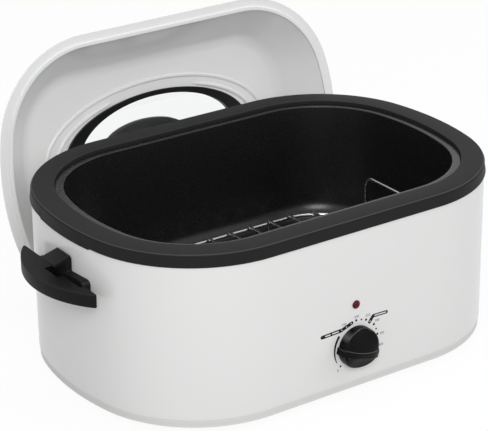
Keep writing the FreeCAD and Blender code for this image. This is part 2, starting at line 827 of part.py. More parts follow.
def heater_clips():
    """Four saddles that hold both ropes against the liner's long walls."""
    body = new_body("heater_clips")
    inner = "-(half_width - liner_inset + seat_gap / 2)"
    low = "heater_low - heater_radius"
    high = "heater_low + heater_pitch + heater_radius"
    sketch = new_sketch(body, "YZ", ("0", "0", "clip_x - clip_width / 2"))
    out = "-(half_width - liner_inset + clip_wall + seat_gap / 2)"
    crown = "-(half_width - heater_inset + heater_radius + seat_gap + clip_wall)"
    hollow = "-(half_width - heater_inset + heater_radius + seat_gap)"
    between_low = "heater_low + heater_radius + seat_gap"
    between_high = "heater_low + heater_pitch - heater_radius - seat_gap"
    polygon(sketch, [
        (inner, low + " - clip_foot"), (inner, low + " - seat_gap"), (hollow, low + " - seat_gap"),
        (hollow, between_low), (inner, between_low), (inner, between_high),
        (hollow, between_high), (hollow, high + " + seat_gap"), (inner, high + " + seat_gap"),
        (inner, high + " + clip_foot"), (out, high + " + clip_foot"),
        (out, high + " + seat_gap + clip_wall"), (crown, high + " + seat_gap + clip_wall"),
        (crown, between_high + " - clip_wall"), (out, between_high + " - clip_wall"),
        (out, between_low + " + clip_wall"), (crown, between_low + " + clip_wall"),
        (crown, low + " - seat_gap - clip_wall"), (out, low + " - seat_gap - clip_wall"),
        (out, low + " - clip_foot")])
    saddle = pad(body, sketch, "clip_width")
    mirrored(body, [saddle], ("XZ", "YZ"))
    return body


def insulation_blanket():
    """Glass-fibre wrap round the heated part of the liner, open at front and back."""
    body = new_body("insulation_blanket")
    ring(body, "blanket_inset", "blanket_inner", "blanket_bottom", "blanket_top")
    gap = rectangle(new_sketch(body, "XY", ("0", "0", "blanket_bottom")), "-blanket_window / 2",
                    "blanket_window / 2", "-body_width", "body_width")
    pocket(body, gap, "blanket_top - blanket_bottom", up=True)
    return body


# ---------------------------------------------------------------- pan and rack

def roasting_pan():
    """Removable enamelled pan: drafted walls, rounded floor, rim that hangs on the ledge."""
    body = new_body("roasting_pan")
    outer = oval(new_sketch(body, "XY", ("0", "0", "pan_top")), "pan_outer")
    pad(body, outer, "pan_depth", down=True, draft="-pan_draft")
    floor = size("pan_top") - size("pan_depth")
    fillet(body, lambda edge: edge.BoundBox.ZMax < floor + 1e-3, "pan_corner")
    inner = new_body("pan_hollow")
    pad(inner, oval(new_sketch(inner, "XY", ("0", "0", "pan_top")), "pan_inner"),
        "pan_depth - pan_wall", down=True, draft="-pan_draft")
    inside = floor + size("pan_wall")
    fillet(inner, lambda edge: edge.BoundBox.ZMax < inside + 1e-3, "pan_corner - pan_wall")
    scoop(body, inner)
    ring(body, "pan_flange_inset", "pan_inner", "pan_flange_bottom", "pan_top")
    return body


def rack_bars():
    """Cross wires that lie on the rack's rim wire."""
    body = new_body("rack_bars")
    first = "-rack_pitch * (rack_bar_count - 1) / 2"
    spot = circle(new_sketch(body, "XZ"), first, "rack_bar_plane", "rack_bar_radius")
    bar = pad(body, spot, "body_width", both=True)
    row = feature(body, "LinearPattern", "row")
    row.Originals = [bar]
    row.Direction = (spot, ["H_Axis"])
    row.setExpression("Length", formula("rack_pitch * (rack_bar_count - 1)"))
    row.setExpression("Occurrences", formula("rack_bar_count"))
    body.Tip = row
    trim = new_sketch(body, "XY", ("0", "0", "rack_plane"))
    oval(trim, "rack_inset")
    rectangle(trim, "-body_length", "body_length", "-body_width", "body_width")
    pocket(body, trim, "4 * rack_wire_radius", up=True)
    return body


def wire_rack():
    """Wire rack's frame: oval rim wire on four short legs."""
    body = new_body("wire_rack")
    path = oval(new_sketch(body, "XY", ("0", "0", "rack_plane")), "rack_inset")
    spot = new_sketch(body, "YZ")
    circle(spot, "-(half_width - rack_inset)", "rack_plane", "rack_wire_radius")
    rim = feature(body, "AdditivePipe", "rim")
    rim.Profile = spot
    rim.Spine = path
    legs = post(body, "rack_leg_x", "half_width - rack_inset", "rack_bar_radius",
                "pan_floor + pan_seat_gap", "rack_plane")
    mirrored(body, [legs], ("XZ", "YZ"))
    return body


def rack_bails():
    """Carrying loops that stand on the rack's rim wire, one at each end."""
    body = new_body("rack_bails")
    path = bail_path(body)
    foot_ring = circle(new_sketch(body, "XY", ("0", "0", "bail_foot")), "bail_x",
                       "-rack_grip_width / 2", "rack_bar_radius")
    bail = feature(body, "AdditivePipe", "bail")
    bail.Profile = foot_ring
    bail.Spine = path
    mirrored(body, [bail], ("YZ",))
    return body


def bail_path(body):
    """Upright loop over the rack's end: two legs, a bar, and a bend between each."""
    path = new_sketch(body, "YZ", ("0", "0", "bail_x"))
    base = size("bail_foot")
    half = size("rack_grip_width") / 2
    bend = size("rack_grip_bend")
    top = size("rack_plane") + size("rack_grip_height")
    quarter = math.pi / 2

    def arc(x, y, start, stop):
        line = Part.Circle(Vector(x, y, 0), Vector(0, 0, 1), bend)
        return Part.ArcOfCircle(line, start, stop)

    path.addGeometry([
        Part.LineSegment(Vector(-half, base, 0), Vector(-half, top - bend, 0)),
        arc(-half + bend, top - bend, quarter, 2 * quarter),
        Part.LineSegment(Vector(-half + bend, top, 0), Vector(half - bend, top, 0)),
        arc(half - bend, top - bend, 0, quarter),
        Part.LineSegment(Vector(half, top - bend, 0), Vector(half, base, 0)),
    ], False)
    rule = Sketcher.Constraint
    path.addConstraint([
        rule("Tangent", 0, 2, 1, 2), rule("Tangent", 1, 1, 2, 1), rule("Tangent", 2, 2, 3, 2),
        rule("Tangent", 3, 1, 4, 1), rule("Vertical", 0), rule("Vertical", 4),
        rule("Symmetric", 0, 1, 4, 2, -2), rule("Equal", 1, 3), rule("Horizontal", 2)])
    bind(path, [
        (rule("DistanceX", 0, 1, 4, 2, 2 * half), "rack_grip_width"),
        (rule("DistanceY", -1, 1, 0, 1, base), "bail_foot"),
        (rule("DistanceY", -1, 1, 2, 1, top), "rack_plane + rack_grip_height"),
        (rule("Radius", 1, bend), "rack_grip_bend"),
    ])
    return path


# ---------------------------------------------------------------- lid

def park(body):
    """Place a lid piece: modelled closed about its rim's centre, then stood up on its edge."""
    body.Placement = FreeCAD.Placement(Vector(0, 0, 0), FreeCAD.Rotation(Vector(-1, 0, 0), 90))
    body.setExpression("Placement.Rotation.Angle", formula("90 + lid_lean"))
    body.setExpression("Placement.Base.x", formula("lid_shift"))
    body.setExpression("Placement.Base.y", formula("lid_park_y"))
    body.setExpression("Placement.Base.z", formula("lid_park_z"))
    return body


def lid_shell():
    """Domed lid: flat rim flange, rolled lip that drops inside the collar, basting ridges."""
    body = new_body("lid_shell")
    dome = oval(new_sketch(body, "XY"), "lid_wall_inset")
    pad(body, dome, "lid_height", draft="-lid_slope")
    fillet(body, at_height("lid_height"), "lid_crown_radius")
    inner = new_body("lid_hollow")
    pad(inner, oval(new_sketch(inner, "XY"), "lid_inner"), "lid_ceiling", draft="-lid_slope")
    fillet(inner, at_height("lid_ceiling"), "lid_crown_radius - lid_wall")
    scoop(body, inner)
    ring(body, "lid_rim_inset", "lid_inner", "0", "lid_flange")
    ring(body, "lid_lip_inset", "lid_lip_inner", "-lid_lip_depth", "lid_flange")
    ridge(body, "arc_length", "arc_width")
    # the inner ridge is left as two arcs, one along each long side
    gap = rectangle(new_sketch(body, "XY", ("0", "0", "lid_ceiling - ridge_height")),
                    "-arc_length", "arc_length", "-arc_start", "arc_start")
    pocket(body, gap, "ridge_height", up=True)
    fillet(body, arc_tip, "0.45 * ridge_bead")
    ridge(body, "ridge_length", "ridge_width")
    opening = new_sketch(body, "XY", ("0", "0", "lid_ceiling - 2 * ridge_height"))
    ellipse(opening, "hole_length", "hole_width")
    pocket(body, opening, "lid_wall + 4 * ridge_height", up=True)
    return park(body)


def ridge(body, length, width):
    """Raised oval bead on the inside of the lid's top."""
    sketch = new_sketch(body, "XY", ("0", "0", "lid_ceiling"))
    ellipse(sketch, length, width)
    ellipse(sketch, "%s - 2 * ridge_bead" % length, "%s - 2 * ridge_bead" % width)
    return pad(body, sketch, "ridge_height", down=True)


def arc_tip(edge):
    """Picks the upright corners where the inner ridge is cut."""
    box = edge.BoundBox
    upright = box.XLength < 1e-3 and box.YLength < 1e-3 and box.ZLength > 1
    return upright and abs(abs(box.YMax) - size("arc_start")) < 1e-3 and box.ZMax < size("lid_height")


def window_frame(name, low, high, recess=None):
    """Oval frame round the window, rebated for the glass where a recess is given."""
    body = new_body(name)
    sketch = new_sketch(body, "XY", ("0", "0", low))
    ellipse(sketch, "window_length", "window_width")
    ellipse(sketch, "sight_length", "sight_width")
    pad(body, sketch, "(%s) - (%s)" % (high, low))
    if recess:
        seat = ellipse(new_sketch(body, "XY", ("0", "0", low)), "hole_length", "hole_width")
        pocket(body, seat, "(%s) - (%s)" % (recess, low), up=True)
    return park(body)


def lid_window():
    """Tempered glass, drilled for the two handle screws."""
    body = new_body("lid_window")
    pane = ellipse(new_sketch(body, "XY", ("0", "0", "glass_bottom")),
                   "hole_length - 2 * window_gap", "hole_width - 2 * window_gap")
    pad(body, pane, "window_glass")
    holes = new_sketch(body, "XY", ("0", "0", "glass_bottom"))
    for x in ("post_x", "-post_x"):
        circle(holes, x, "0", "grip_screw_radius + seat_gap")
    pocket(body, holes, "window_glass", up=True)
    return park(body)


def lid_handle():
    """Bridge grip: a thick oval bar on two flared posts."""
    body = new_body("lid_handle")
    bar = ellipse(new_sketch(body, "XY", ("0", "0", "grip_bottom")), "grip_length", "grip_width")
    pad(body, bar, "grip_thickness")
    bottom = size("grip_bottom")
    top = bottom + size("grip_thickness")
    fillet(body, lambda edge: abs(edge.BoundBox.ZMin - top) < 1e-3, "grip_edge_radius")
    feet = new_sketch(body, "XY", ("0", "0", "handle_foot"))
    for x in ("post_x", "-post_x"):
        circle(feet, x, "0", "post_radius")
    pad(body, feet, "grip_bottom - handle_foot")
    bores = new_sketch(body, "XY", ("0", "0", "handle_foot"))
    for x in ("post_x", "-post_x"):
        circle(bores, x, "0", "grip_screw_radius + seat_gap / 2")
    pocket(body, bores, "grip_screw_depth", up=True)
    return park(body)


def handle_gaskets(name, low, high):
    """Two washers round the handle screws."""
    body = new_body(name)
    sketch = new_sketch(body, "XY", ("0", "0", low))
    for x in ("post_x", "-post_x"):
        circle(sketch, x, "0", "gasket_radius")
        circle(sketch, x, "0", "grip_screw_radius + seat_gap")
    pad(body, sketch, "(%s) - (%s)" % (high, low))
    return park(body)


def lid_handle_screws():
    body = new_body("lid_handle_screws")
    heads = new_sketch(body, "XY", ("0", "0", "washer_bottom - screw_head_height"))
    shanks = new_sketch(body, "XY", ("0", "0", "washer_bottom"))
    for x in ("post_x", "-post_x"):
        circle(heads, x, "0", "2 * grip_screw_radius")
        circle(shanks, x, "0", "grip_screw_radius")
    pad(body, heads, "screw_head_height")
    pad(body, shanks, "handle_foot - washer_bottom + grip_screw_depth - 2 * seat_gap")
    return park(body)


# ---------------------------------------------------------------- side handles

def side_handle(name, side):
    """Wing handle: crescent shelf, back plate along the shell, a hood over its middle."""
    body = new_body(name)
    wing = new_sketch(body, "XY", ("0", "0", "wing_bottom"))
    crescent(wing, side)
    pad(body, wing, "wing_thickness")
    fillet(body, wing_corner, "wing_corner")
    fillet(body, wing_rim, "wing_edge_radius")
    wall_cut = oval(new_sketch(body, "XY", ("0", "0", "wing_bottom")), "handle_inset")
    pocket(body, wall_cut, "wing_thickness", up=True)
    slots = new_sketch(body, "XY", ("0", "0", "wing_bottom"))
    start = "%d * (wall_x - plate_thickness)" % side
    narrow = "%d * (wall_x + plate_thickness + grip_slot_width)" % side
    wide = "%d * (wall_x + hood_window_reach)" % side
    polygon(slots, [(start, "-grip_slot_half_length"), (narrow, "-grip_slot_half_length"),
                    (narrow, "-hood_window_half"), (wide, "-hood_window_half"),
                    (wide, "hood_window_half"), (narrow, "hood_window_half"),
                    (narrow, "grip_slot_half_length"), (start, "grip_slot_half_length")])
    pocket(body, slots, "wing_thickness", up=True)
    tips = new_sketch(body, "XY", ("0", "0", "wing_bottom"))
    root = "%d * (half_length - 2 * handle_back)" % side
    free = "%d * (wall_x + wing_tip_gap)" % side
    for end in (-1, 1):
        rectangle(tips, root, free, "%d * plate_half_length" % end, "%d * 2 * handle_half_length" % end)
    pocket(body, tips, "wing_thickness", up=True)
    plate_outline = new_sketch(body, "XY", ("0", "0", "wing_bottom"))
    wall_band(plate_outline, side, "plate_half_length")
    pad(body, plate_outline, "plate_top - wing_bottom")
    top, edge_y = size("plate_top"), size("plate_half_length")
    fillet(body, lambda edge: edge.BoundBox.ZMin > top - 0.01 and edge.BoundBox.ZMax < top + 0.01
           and edge.BoundBox.YLength < 0.01 and abs(edge.BoundBox.YMax) > edge_y - 0.01,
           "plate_corner")
    tab = new_sketch(body, "XY", ("0", "0", "plate_top"))
    wall_band(tab, side, "tab_half_width")
    pad(body, tab, "tab_top - plate_top")
    hood = new_sketch(body, "XZ")
    near = "%d * (wall_x + plate_thickness / 2)" % side
    far = "%d * (wall_x + hood_reach)" % side
    polygon(hood, [(near, "tab_top - hood_drop / 4"), (far, "tab_top - hood_drop"),
                   (far, "tab_top - hood_drop - hood_thickness"),
                   (near, "tab_top - hood_thickness - hood_drop / 2")])
    pad(body, hood, "2 * tab_half_width", both=True)
    bores = new_sketch(body, "YZ", ("0", "0", "%d * half_length / 2" % side))
    for y in ("handle_screw_y", "-handle_screw_y"):
        circle(bores, y, "handle_screw_height", "handle_screw_radius + seat_gap / 2")
    pocket(body, bores, "wall_x + handle_screw_depth - half_length / 2", up=side > 0)
    return body


def wall_band(sketch, side, half):
    """Curved strip that follows the shell's end, out to the plate's thickness."""
    centre = size("half_length") - size("end_radius")
    reach = size(half)
    inner = size("end_radius") - size("handle_inset")
    outer = size("end_radius") - size("handle_out")
    middle = 0 if side > 0 else math.pi

    def arc(radius):
        swing = math.asin(reach / radius)
        whole = Part.Circle(Vector(side * centre, 0, 0), Vector(0, 0, 1), radius)
        return Part.ArcOfCircle(whole, middle - swing, middle + swing)

    near, far = arc(inner), arc(outer)
    # an arc's first end is its lower one on the right, and its upper one on the left
    sketch.addGeometry([near, far, Part.LineSegment(near.EndPoint, far.EndPoint),
                        Part.LineSegment(far.StartPoint, near.StartPoint)], False)
    rule = Sketcher.Constraint
    sketch.addConstraint([
        rule("Coincident", 2, 1, 0, 2), rule("Coincident", 2, 2, 1, 2),
        rule("Coincident", 3, 1, 1, 1), rule("Coincident", 3, 2, 0, 1),
        rule("Horizontal", 2), rule("Horizontal", 3), rule("Coincident", 0, 3, 1, 3),
        rule("PointOnObject", 0, 3, -1)])
    bind(sketch, [
        (rule("Radius", 0, inner), "end_radius - handle_inset"),
        (rule("Radius", 1, outer), "end_radius - handle_out"),
        (rule("DistanceX", -1, 1, 0, 3, side * centre), "%d * (half_length - end_radius)" % side),
        (rule("DistanceY", -1, 1, 0, 2, side * reach), "%d * %s" % (side, half)),
        (rule("DistanceY", 0, 1, -1, 1, side * reach), "%d * %s" % (side, half)),
    ])


def crescent(sketch, side):
    """Shelf outline: one long outer arc, blunt ends, straight back."""
    half = size("handle_half_length")
    radius = size("handle_outer_radius")
    tip = size("half_length") + size("handle_reach")
    centre = tip - radius
    swing = math.asin(half / radius)
    end_x = centre + radius * math.cos(swing)
    back = size("half_length") - size("handle_back")
    middle = 0 if side > 0 else math.pi
    arc = Part.ArcOfCircle(Part.Circle(Vector(side * centre, 0, 0), Vector(0, 0, 1), radius),
                           middle - swing, middle + swing)
    # the arc runs from its lower to its upper end on the right, the other way on the left
    low, high = (1, 2) if side > 0 else (2, 1)
    sketch.addGeometry([
        arc,
        Part.LineSegment(Vector(side * end_x, half, 0), Vector(side * back, half, 0)),
        Part.LineSegment(Vector(side * back, half, 0), Vector(side * back, -half, 0)),
        Part.LineSegment(Vector(side * back, -half, 0), Vector(side * end_x, -half, 0)),
    ], False)
    rule = Sketcher.Constraint
    sketch.addConstraint([
        rule("Coincident", 0, high, 1, 1), rule("Coincident", 1, 2, 2, 1),
        rule("Coincident", 2, 2, 3, 1), rule("Coincident", 3, 2, 0, low),
        rule("Horizontal", 1), rule("Horizontal", 3), rule("Vertical", 2),
        rule("PointOnObject", 0, 3, -1)])
    bind(sketch, [
        (rule("Radius", 0, radius), "handle_outer_radius"),
        (rule("DistanceX", -1, 1, 0, 3, side * centre),
         "%d * (half_length + handle_reach - handle_outer_radius)" % side),
        (rule("DistanceX", -1, 1, 2, 1, side * back), "%d * (half_length - handle_back)" % side),
        (rule("DistanceY", -1, 1, 1, 1, half), "handle_half_length"),
    ])


def wing_corner(edge):
    """Picks the two upright corners at the outer ends of a handle's shelf."""
    box = edge.BoundBox
    upright = box.XLength < 1e-3 and box.YLength < 1e-3
    return upright and max(abs(box.XMin), abs(box.XMax)) > size("half_length") - 1


def wing_rim(edge):
    """Picks the long outer arcs of a handle's shelf."""
    curve = edge.Curve
    return isinstance(curve, Part.Circle) and abs(curve.Radius - size("handle_outer_radius")) < 1e-3


def handle_screws():
    """Screws from inside the shell into each handle."""
    body = new_body("handle_screws")
    items = []
    heads = new_sketch(body, "YZ", ("0", "0", "screw_face - screw_head_height"))
    shanks = new_sketch(body, "YZ", ("0", "0", "screw_face"))
    for y in ("handle_screw_y", "-handle_screw_y"):
        circle(heads, y, "handle_screw_height", "2 * handle_screw_radius")
        circle(shanks, y, "handle_screw_height", "handle_screw_radius")
    items.append(pad(body, heads, "screw_head_height"))
    items.append(pad(body, shanks, "wall_x + handle_screw_depth - seat_gap - screw_face"))
    mirrored(body, items, ("YZ",))
    return body


# ---------------------------------------------------------------- control

def from_front(body, radius, start, length, x="0", height="knob_height"):
    """A cylinder along -Y: from a distance out of the middle plane, outward."""
    sketch = circle(new_sketch(body, "XZ", ("0", "0", start)), x, height, radius)
    return pad(body, sketch, length)


def control_knob():
    """Dial knob: tapered round body, two scooped finger wells, and a bar across them.

    It is drawn about its own axis, then lifted to the panel and turned to its setting.
    """
    body = new_body("control_knob")
    disc = circle(new_sketch(body, "XZ", ("0", "0", "knob_back")), "0", "0", "knob_radius")
    pad(body, disc, "knob_depth", draft="-knob_taper")
    front = -(size("knob_back") + size("knob_depth"))
    fillet(body, lambda edge: abs(edge.BoundBox.YMin - front) < 1e-3
           and abs(edge.BoundBox.YMax - front) < 1e-3, "knob_edge")
    for side in (-1, 1):
        well = new_sketch(body, "XZ", ("0", "0", "knob_back + knob_depth"))
        finger_well(well, side)
        pocket(body, well, "knob_scoop")
    bar = rectangle(new_sketch(body, "XZ", ("0", "0", "knob_back + knob_bar_lift")),
                    "-knob_bar_length / 2", "knob_bar_length / 2", "-knob_bar / 2", "knob_bar / 2")
    pad(body, bar, "knob_depth - knob_bar_lift + knob_bar_proud")
    fillet(body, bar_end, "knob_bar_length / 8")
    hollow = circle(new_sketch(body, "XZ", ("0", "0", "knob_back")), "0", "0",
                    "knob_hollow_radius")
    pocket(body, hollow, "knob_hollow_depth", up=True)
    bore = circle(new_sketch(body, "XZ", ("0", "0", "knob_back")), "0", "0",
                  "shaft_radius + shaft_gap")
    pocket(body, bore, "shaft_in_knob + seat_gap", up=True)
    body.Placement = FreeCAD.Placement(Vector(0, 0, 0), FreeCAD.Rotation(Vector(0, 1, 0), 90))
    body.setExpression("Placement.Rotation.Angle", formula("knob_turn"))
    body.setExpression("Placement.Base.z", formula("knob_height"))
    return body


def bar_end(edge):
    """Picks the front edge at each end of the knob's bar."""
    box = edge.BoundBox
    front = -(size("knob_back") + size("knob_depth") + size("knob_bar_proud"))
    return (abs(box.YMin - front) < 1e-3 and abs(box.YMax - front) < 1e-3
            and box.XLength < 1e-3 and box.ZLength > 1)


def finger_well(sketch, side):
    """Circular segment above (1) or below (-1) the knob's bar."""
    radius = size("knob_face") - size("knob_rim")
    half_bar = size("knob_bar") / 2
    swing = math.asin(half_bar / radius)
    start = swing if side > 0 else math.pi + swing
    stop = math.pi - swing if side > 0 else 2 * math.pi - swing
    whole = Part.Circle(Vector(0, 0, 0), Vector(0, 0, 1), radius)
    arc = Part.ArcOfCircle(whole, start, stop)
    sketch.addGeometry([arc, Part.LineSegment(arc.EndPoint, arc.StartPoint)], False)
    rule = Sketcher.Constraint
    sketch.addConstraint([rule("Coincident", 0, 2, 1, 1), rule("Coincident", 1, 2, 0, 1),
                          rule("Horizontal", 1), rule("Coincident", 0, 3, -1, 1)])
    bind(sketch, [
        (rule("Radius", 0, radius), "knob_face - knob_rim"),
        (rule("DistanceY", -1, 1, 1, 1, side * half_bar), "%d * knob_bar / 2" % side),
    ])


def thermostat_shaft():
    """Spindle that the knob turns, with its flat."""
    body = new_body("thermostat_shaft")
    from_front(body, "shaft_radius", "shaft_start", "knob_back + shaft_in_knob - shaft_start")
    return body


def thermostat():
    """Dial thermostat: switch case and threaded bushing through the shell."""
    body = new_body("thermostat")
    case = rectangle(new_sketch(body, "XZ", ("0", "0", "thermostat_face - thermostat_depth")),
                     "-thermostat_width / 2", "thermostat_width / 2",
                     "knob_height - thermostat_height / 2", "knob_height + thermostat_height / 2")
    pad(body, case, "thermostat_depth")
    fillet(body, lambda edge: edge.BoundBox.YLength > 5 and edge.BoundBox.XLength < 0.01
           and edge.BoundBox.ZLength < 0.01, "thermostat_corner")
    from_front(body, "bushing_radius", "thermostat_face", "shell_face - thermostat_face + bushing_length")
    bore = circle(new_sketch(body, "XZ", ("0", "0", "shaft_start - seat_gap")), "0", "knob_height",
                  "shaft_radius + shaft_gap")
    pocket(body, bore, "half_width", up=True)
    return body


def bushing_nut():
    """Flat nut that clamps the thermostat's bushing to the shell."""
    body = new_body("bushing_nut")
    sketch = new_sketch(body, "XZ", ("0", "0", "shell_face + seat_gap"))
    circle(sketch, "0", "knob_height", "bushing_nut_radius")
    circle(sketch, "0", "knob_height", "bushing_radius + seat_gap / 2")
    pad(body, sketch, "bushing_nut_height")
    return body


def lamp_lens():
    """Domed red lens of the pilot lamp."""
    body = new_body("lamp_lens")
    from_front(body, "lamp_flange_radius", "shell_face + seat_gap", "lamp_flange", "0", "lamp_height")
    from_front(body, "lamp_radius", "shell_face + seat_gap + lamp_flange", "lamp_dome", "0",
               "lamp_height")
    front = -(size("shell_face") + size("seat_gap") + size("lamp_flange") + size("lamp_dome"))
    fillet(body, lambda edge: abs(edge.BoundBox.YMax - front) < 1e-3
           and abs(edge.BoundBox.YMin - front) < 1e-3, "lamp_dome * 0.9")
    from_front(body, "lamp_radius", "shell_back - seat_gap - lamp_clip", "shell_wall + 2 * seat_gap"
               " + lamp_clip", "0", "lamp_height")
    return body


def lamp_clip():
    """Spring ring that holds the lens behind the shell."""
    body = new_body("lamp_clip")
    sketch = new_sketch(body, "XZ", ("0", "0", "shell_back - seat_gap - lamp_clip"))
    circle(sketch, "0", "lamp_height", "lamp_flange_radius + lamp_clip")
    circle(sketch, "0", "lamp_height", "lamp_radius + seat_gap / 2")
    pad(body, sketch, "lamp_clip")
    return body


def lamp_body():
    """Neon indicator pushed into the back of the lens."""
    body = new_body("lamp_body")
    from_front(body, "lamp_radius - lamp_clip / 2",
               "shell_back - 2 * seat_gap - lamp_clip - lamp_body_length", "lamp_body_length", "0",
               "lamp_height")
    return body


# ---------------------------------------------------------------- supply

def cord_bushing():
    """Flanged bushing in the back wall; its bore is open for the supply cord."""
    body = new_body("cord_bushing")
    outer = circle(new_sketch(body, "XZ", ("0", "0", "-(shell_face + seat_gap)")), "cord_x",
                   "cord_height", "cord_flange_radius")
    pad(body, outer, "cord_flange", down=True)
    barrel = circle(new_sketch(body, "XZ", ("0", "0", "-(shell_face + seat_gap)")), "cord_x",
                    "cord_height", "cord_hole_radius - seat_gap")
    pad(body, barrel, "shell_wall + 2 * seat_gap + 2 * cord_flange")
    bore = circle(new_sketch(body, "XZ"), "cord_x", "cord_height", "cord_bore_radius")
    pocket(body, bore, both=True)
    return body


def terminal_block():
    """Three-way terminal block screwed to the base floor near the cord's entry."""
    body = new_body("terminal_block")
    back = "half_width - base_inner - terminal_gap"
    block = rectangle(new_sketch(body, "XY", ("0", "0", "base_floor + seat_gap")),
                      "cord_x - terminal_length / 2", "cord_x + terminal_length / 2",
                      back + " - terminal_depth", back)
    pad(body, block, "terminal_height")
    wells = new_sketch(body, "XY", ("0", "0", "base_floor + terminal_height + seat_gap"))
    for step in (-1, 0, 1):
        circle(wells, "cord_x + %d * terminal_length / 3" % step, back + " - terminal_depth / 2",
               "terminal_well")
    pocket(body, wells, "terminal_height / 2")
    return body


def thermal_fuse():
    """One-shot fuse tube held under the liner's floor."""
    body = new_body("thermal_fuse")
    sketch = circle(new_sketch(body, "YZ", ("0", "0", "-fuse_length / 2")), "fuse_y",
                    "liner_height - seat_gap - fuse_radius", "fuse_radius")
    pad(body, sketch, "fuse_length")
    return body


def fuse_strap():
    """Saddle strap under the fuse, welded to the liner."""
    body = new_body("fuse_strap")
    sketch = new_sketch(body, "YZ", ("0", "0", "-strap_width / 2"))
    top = "liner_height - seat_gap / 2"
    polygon(sketch, [
        ("fuse_y - fuse_radius - strap_ear", top), ("fuse_y - fuse_radius - seat_gap", top),
        ("fuse_y - fuse_radius - seat_gap", "liner_height - 2 * fuse_radius - 2 * seat_gap"),
        ("fuse_y + fuse_radius + seat_gap", "liner_height - 2 * fuse_radius - 2 * seat_gap"),
        ("fuse_y + fuse_radius + seat_gap", top), ("fuse_y + fuse_radius + strap_ear", top),
        ("fuse_y + fuse_radius + strap_ear", top + " - strap_wall"),
        ("fuse_y + fuse_radius + seat_gap + strap_wall", top + " - strap_wall"),
        ("fuse_y + fuse_radius + seat_gap + strap_wall",
         "liner_height - 2 * fuse_radius - 2 * seat_gap - strap_wall"),
        ("fuse_y - fuse_radius - seat_gap - strap_wall",
         "liner_height - 2 * fuse_radius - 2 * seat_gap - strap_wall"),
        ("fuse_y - fuse_radius - seat_gap - strap_wall", top + " - strap_wall"),
        ("fuse_y - fuse_radius - strap_ear", top + " - strap_wall")])
    pad(body, sketch, "strap_width")
    return body


# ---------------------------------------------------------------- build

def build():
    pieces = [base_pan()]
    for end, side in (("left", -1), ("right", 1)):
        for depth, front in (("front", -1), ("back", 1)):
            pieces.append(foot("foot_%s_%s" % (depth, end), side, front))
    pieces += [
        heat_shield(),
        four_posts("liner_spacers", "spacer_radius",
                   "shield_height + shield_thickness + seat_gap / 2", "liner_height - seat_gap / 2",
                   "stud_radius + seat_gap"),
        four_posts("liner_studs", "stud_radius", "seat_gap", "liner_height"),
        four_posts("stud_nuts", "nut_radius", "seat_gap", "nut_height + seat_gap",
                   "stud_radius + seat_gap / 4"),
        outer_shell(),
        top_collar(),
        screws("collar_screws", (("collar_boss_x", "collar_boss_y"),
                                 ("collar_boss_x + collar_boss_pitch", "collar_boss_y")),
               "2 * collar_screw_radius", "screw_head_height", "collar_screw_radius",
               "liner_flange_drop - collar_top - seat_gap", "(liner_top - liner_wall - seat_gap / 4)",
               ("XZ", "YZ")),
        liner(),
        heater("heating_rope_lower", "heater_low"),
        heater("heating_rope_upper", "heater_low + heater_pitch"),
        heater_clips(),
        insulation_blanket(),
        thermal_fuse(),
        fuse_strap(),
        thermostat(),
        bushing_nut(),
        thermostat_shaft(),
        control_knob(),
        lamp_lens(),
        lamp_clip(),
        lamp_body(),
        cord_bushing(),
        terminal_block(),
        side_handle("handle_left", -1),
        side_handle("handle_right", 1),
        handle_screws(),
        roasting_pan(),
        wire_rack(),
        rack_bars(),
        rack_bails(),
        lid_shell(),
        window_frame("window_ring", "frame_bottom", "lid_ceiling - pan_seat_gap / 3"),
        window_frame("window_bezel", "lid_height + seat_gap / 2",
                     "glass_top + window_frame_height", "glass_top + seat_gap / 2"),
        lid_window(),
        handle_gaskets("handle_gaskets", "glass_top + seat_gap / 2", "glass_top + gasket_height"),
        handle_gaskets("handle_washers", "washer_bottom + seat_gap / 4",
                       "glass_bottom - seat_gap / 2"),
        lid_handle(),
        lid_handle_screws(),
    ]
    doc.recompute()
    return pieces


def check(pieces):
    """Stop if any object of the document failed, or a piece has no sound solid."""
    for item in doc.Objects:
        bad = [state for state in item.State if state in ("Invalid", "Error")]
        if bad:
            raise RuntimeError("%s is %s: %s" % (item.Label, bad, item.getStatusString()))
    for piece in pieces:
        shape = piece.Shape
        if shape.isNull() or not shape.isValid() or not shape.Solids:
            raise RuntimeError("%s has no sound solid" % piece.Label)


def write(pieces):
    os.makedirs("parts", exist_ok=True)
    for piece in pieces:
        piece.Shape.exportStep("parts/%s.step" % piece.Label)
        print("%-22s %2d solids %12.1f mm3" % (piece.Label, len(piece.Shape.Solids),
                                               piece.Shape.Volume))


pieces = build()
check(pieces)
write(pieces)
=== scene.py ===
import math

import bmesh
import bpy
from mathutils import Matrix, Vector


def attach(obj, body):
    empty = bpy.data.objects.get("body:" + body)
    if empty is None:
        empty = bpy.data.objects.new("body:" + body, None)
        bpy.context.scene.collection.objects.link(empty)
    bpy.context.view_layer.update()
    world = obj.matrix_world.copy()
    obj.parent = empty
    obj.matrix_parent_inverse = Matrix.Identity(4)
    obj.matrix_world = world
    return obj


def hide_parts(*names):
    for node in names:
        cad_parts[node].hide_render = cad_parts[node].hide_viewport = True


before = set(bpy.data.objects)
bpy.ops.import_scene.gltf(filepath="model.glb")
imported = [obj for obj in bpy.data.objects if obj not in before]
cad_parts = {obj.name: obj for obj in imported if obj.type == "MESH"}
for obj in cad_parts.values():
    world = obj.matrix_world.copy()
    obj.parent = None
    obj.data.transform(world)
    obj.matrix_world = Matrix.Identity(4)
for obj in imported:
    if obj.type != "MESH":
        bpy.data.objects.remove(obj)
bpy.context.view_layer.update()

MM = 0.001
TINY = 1e-6

# sizes are in millimetres, but for the finishes' and the studio's, which are in metres

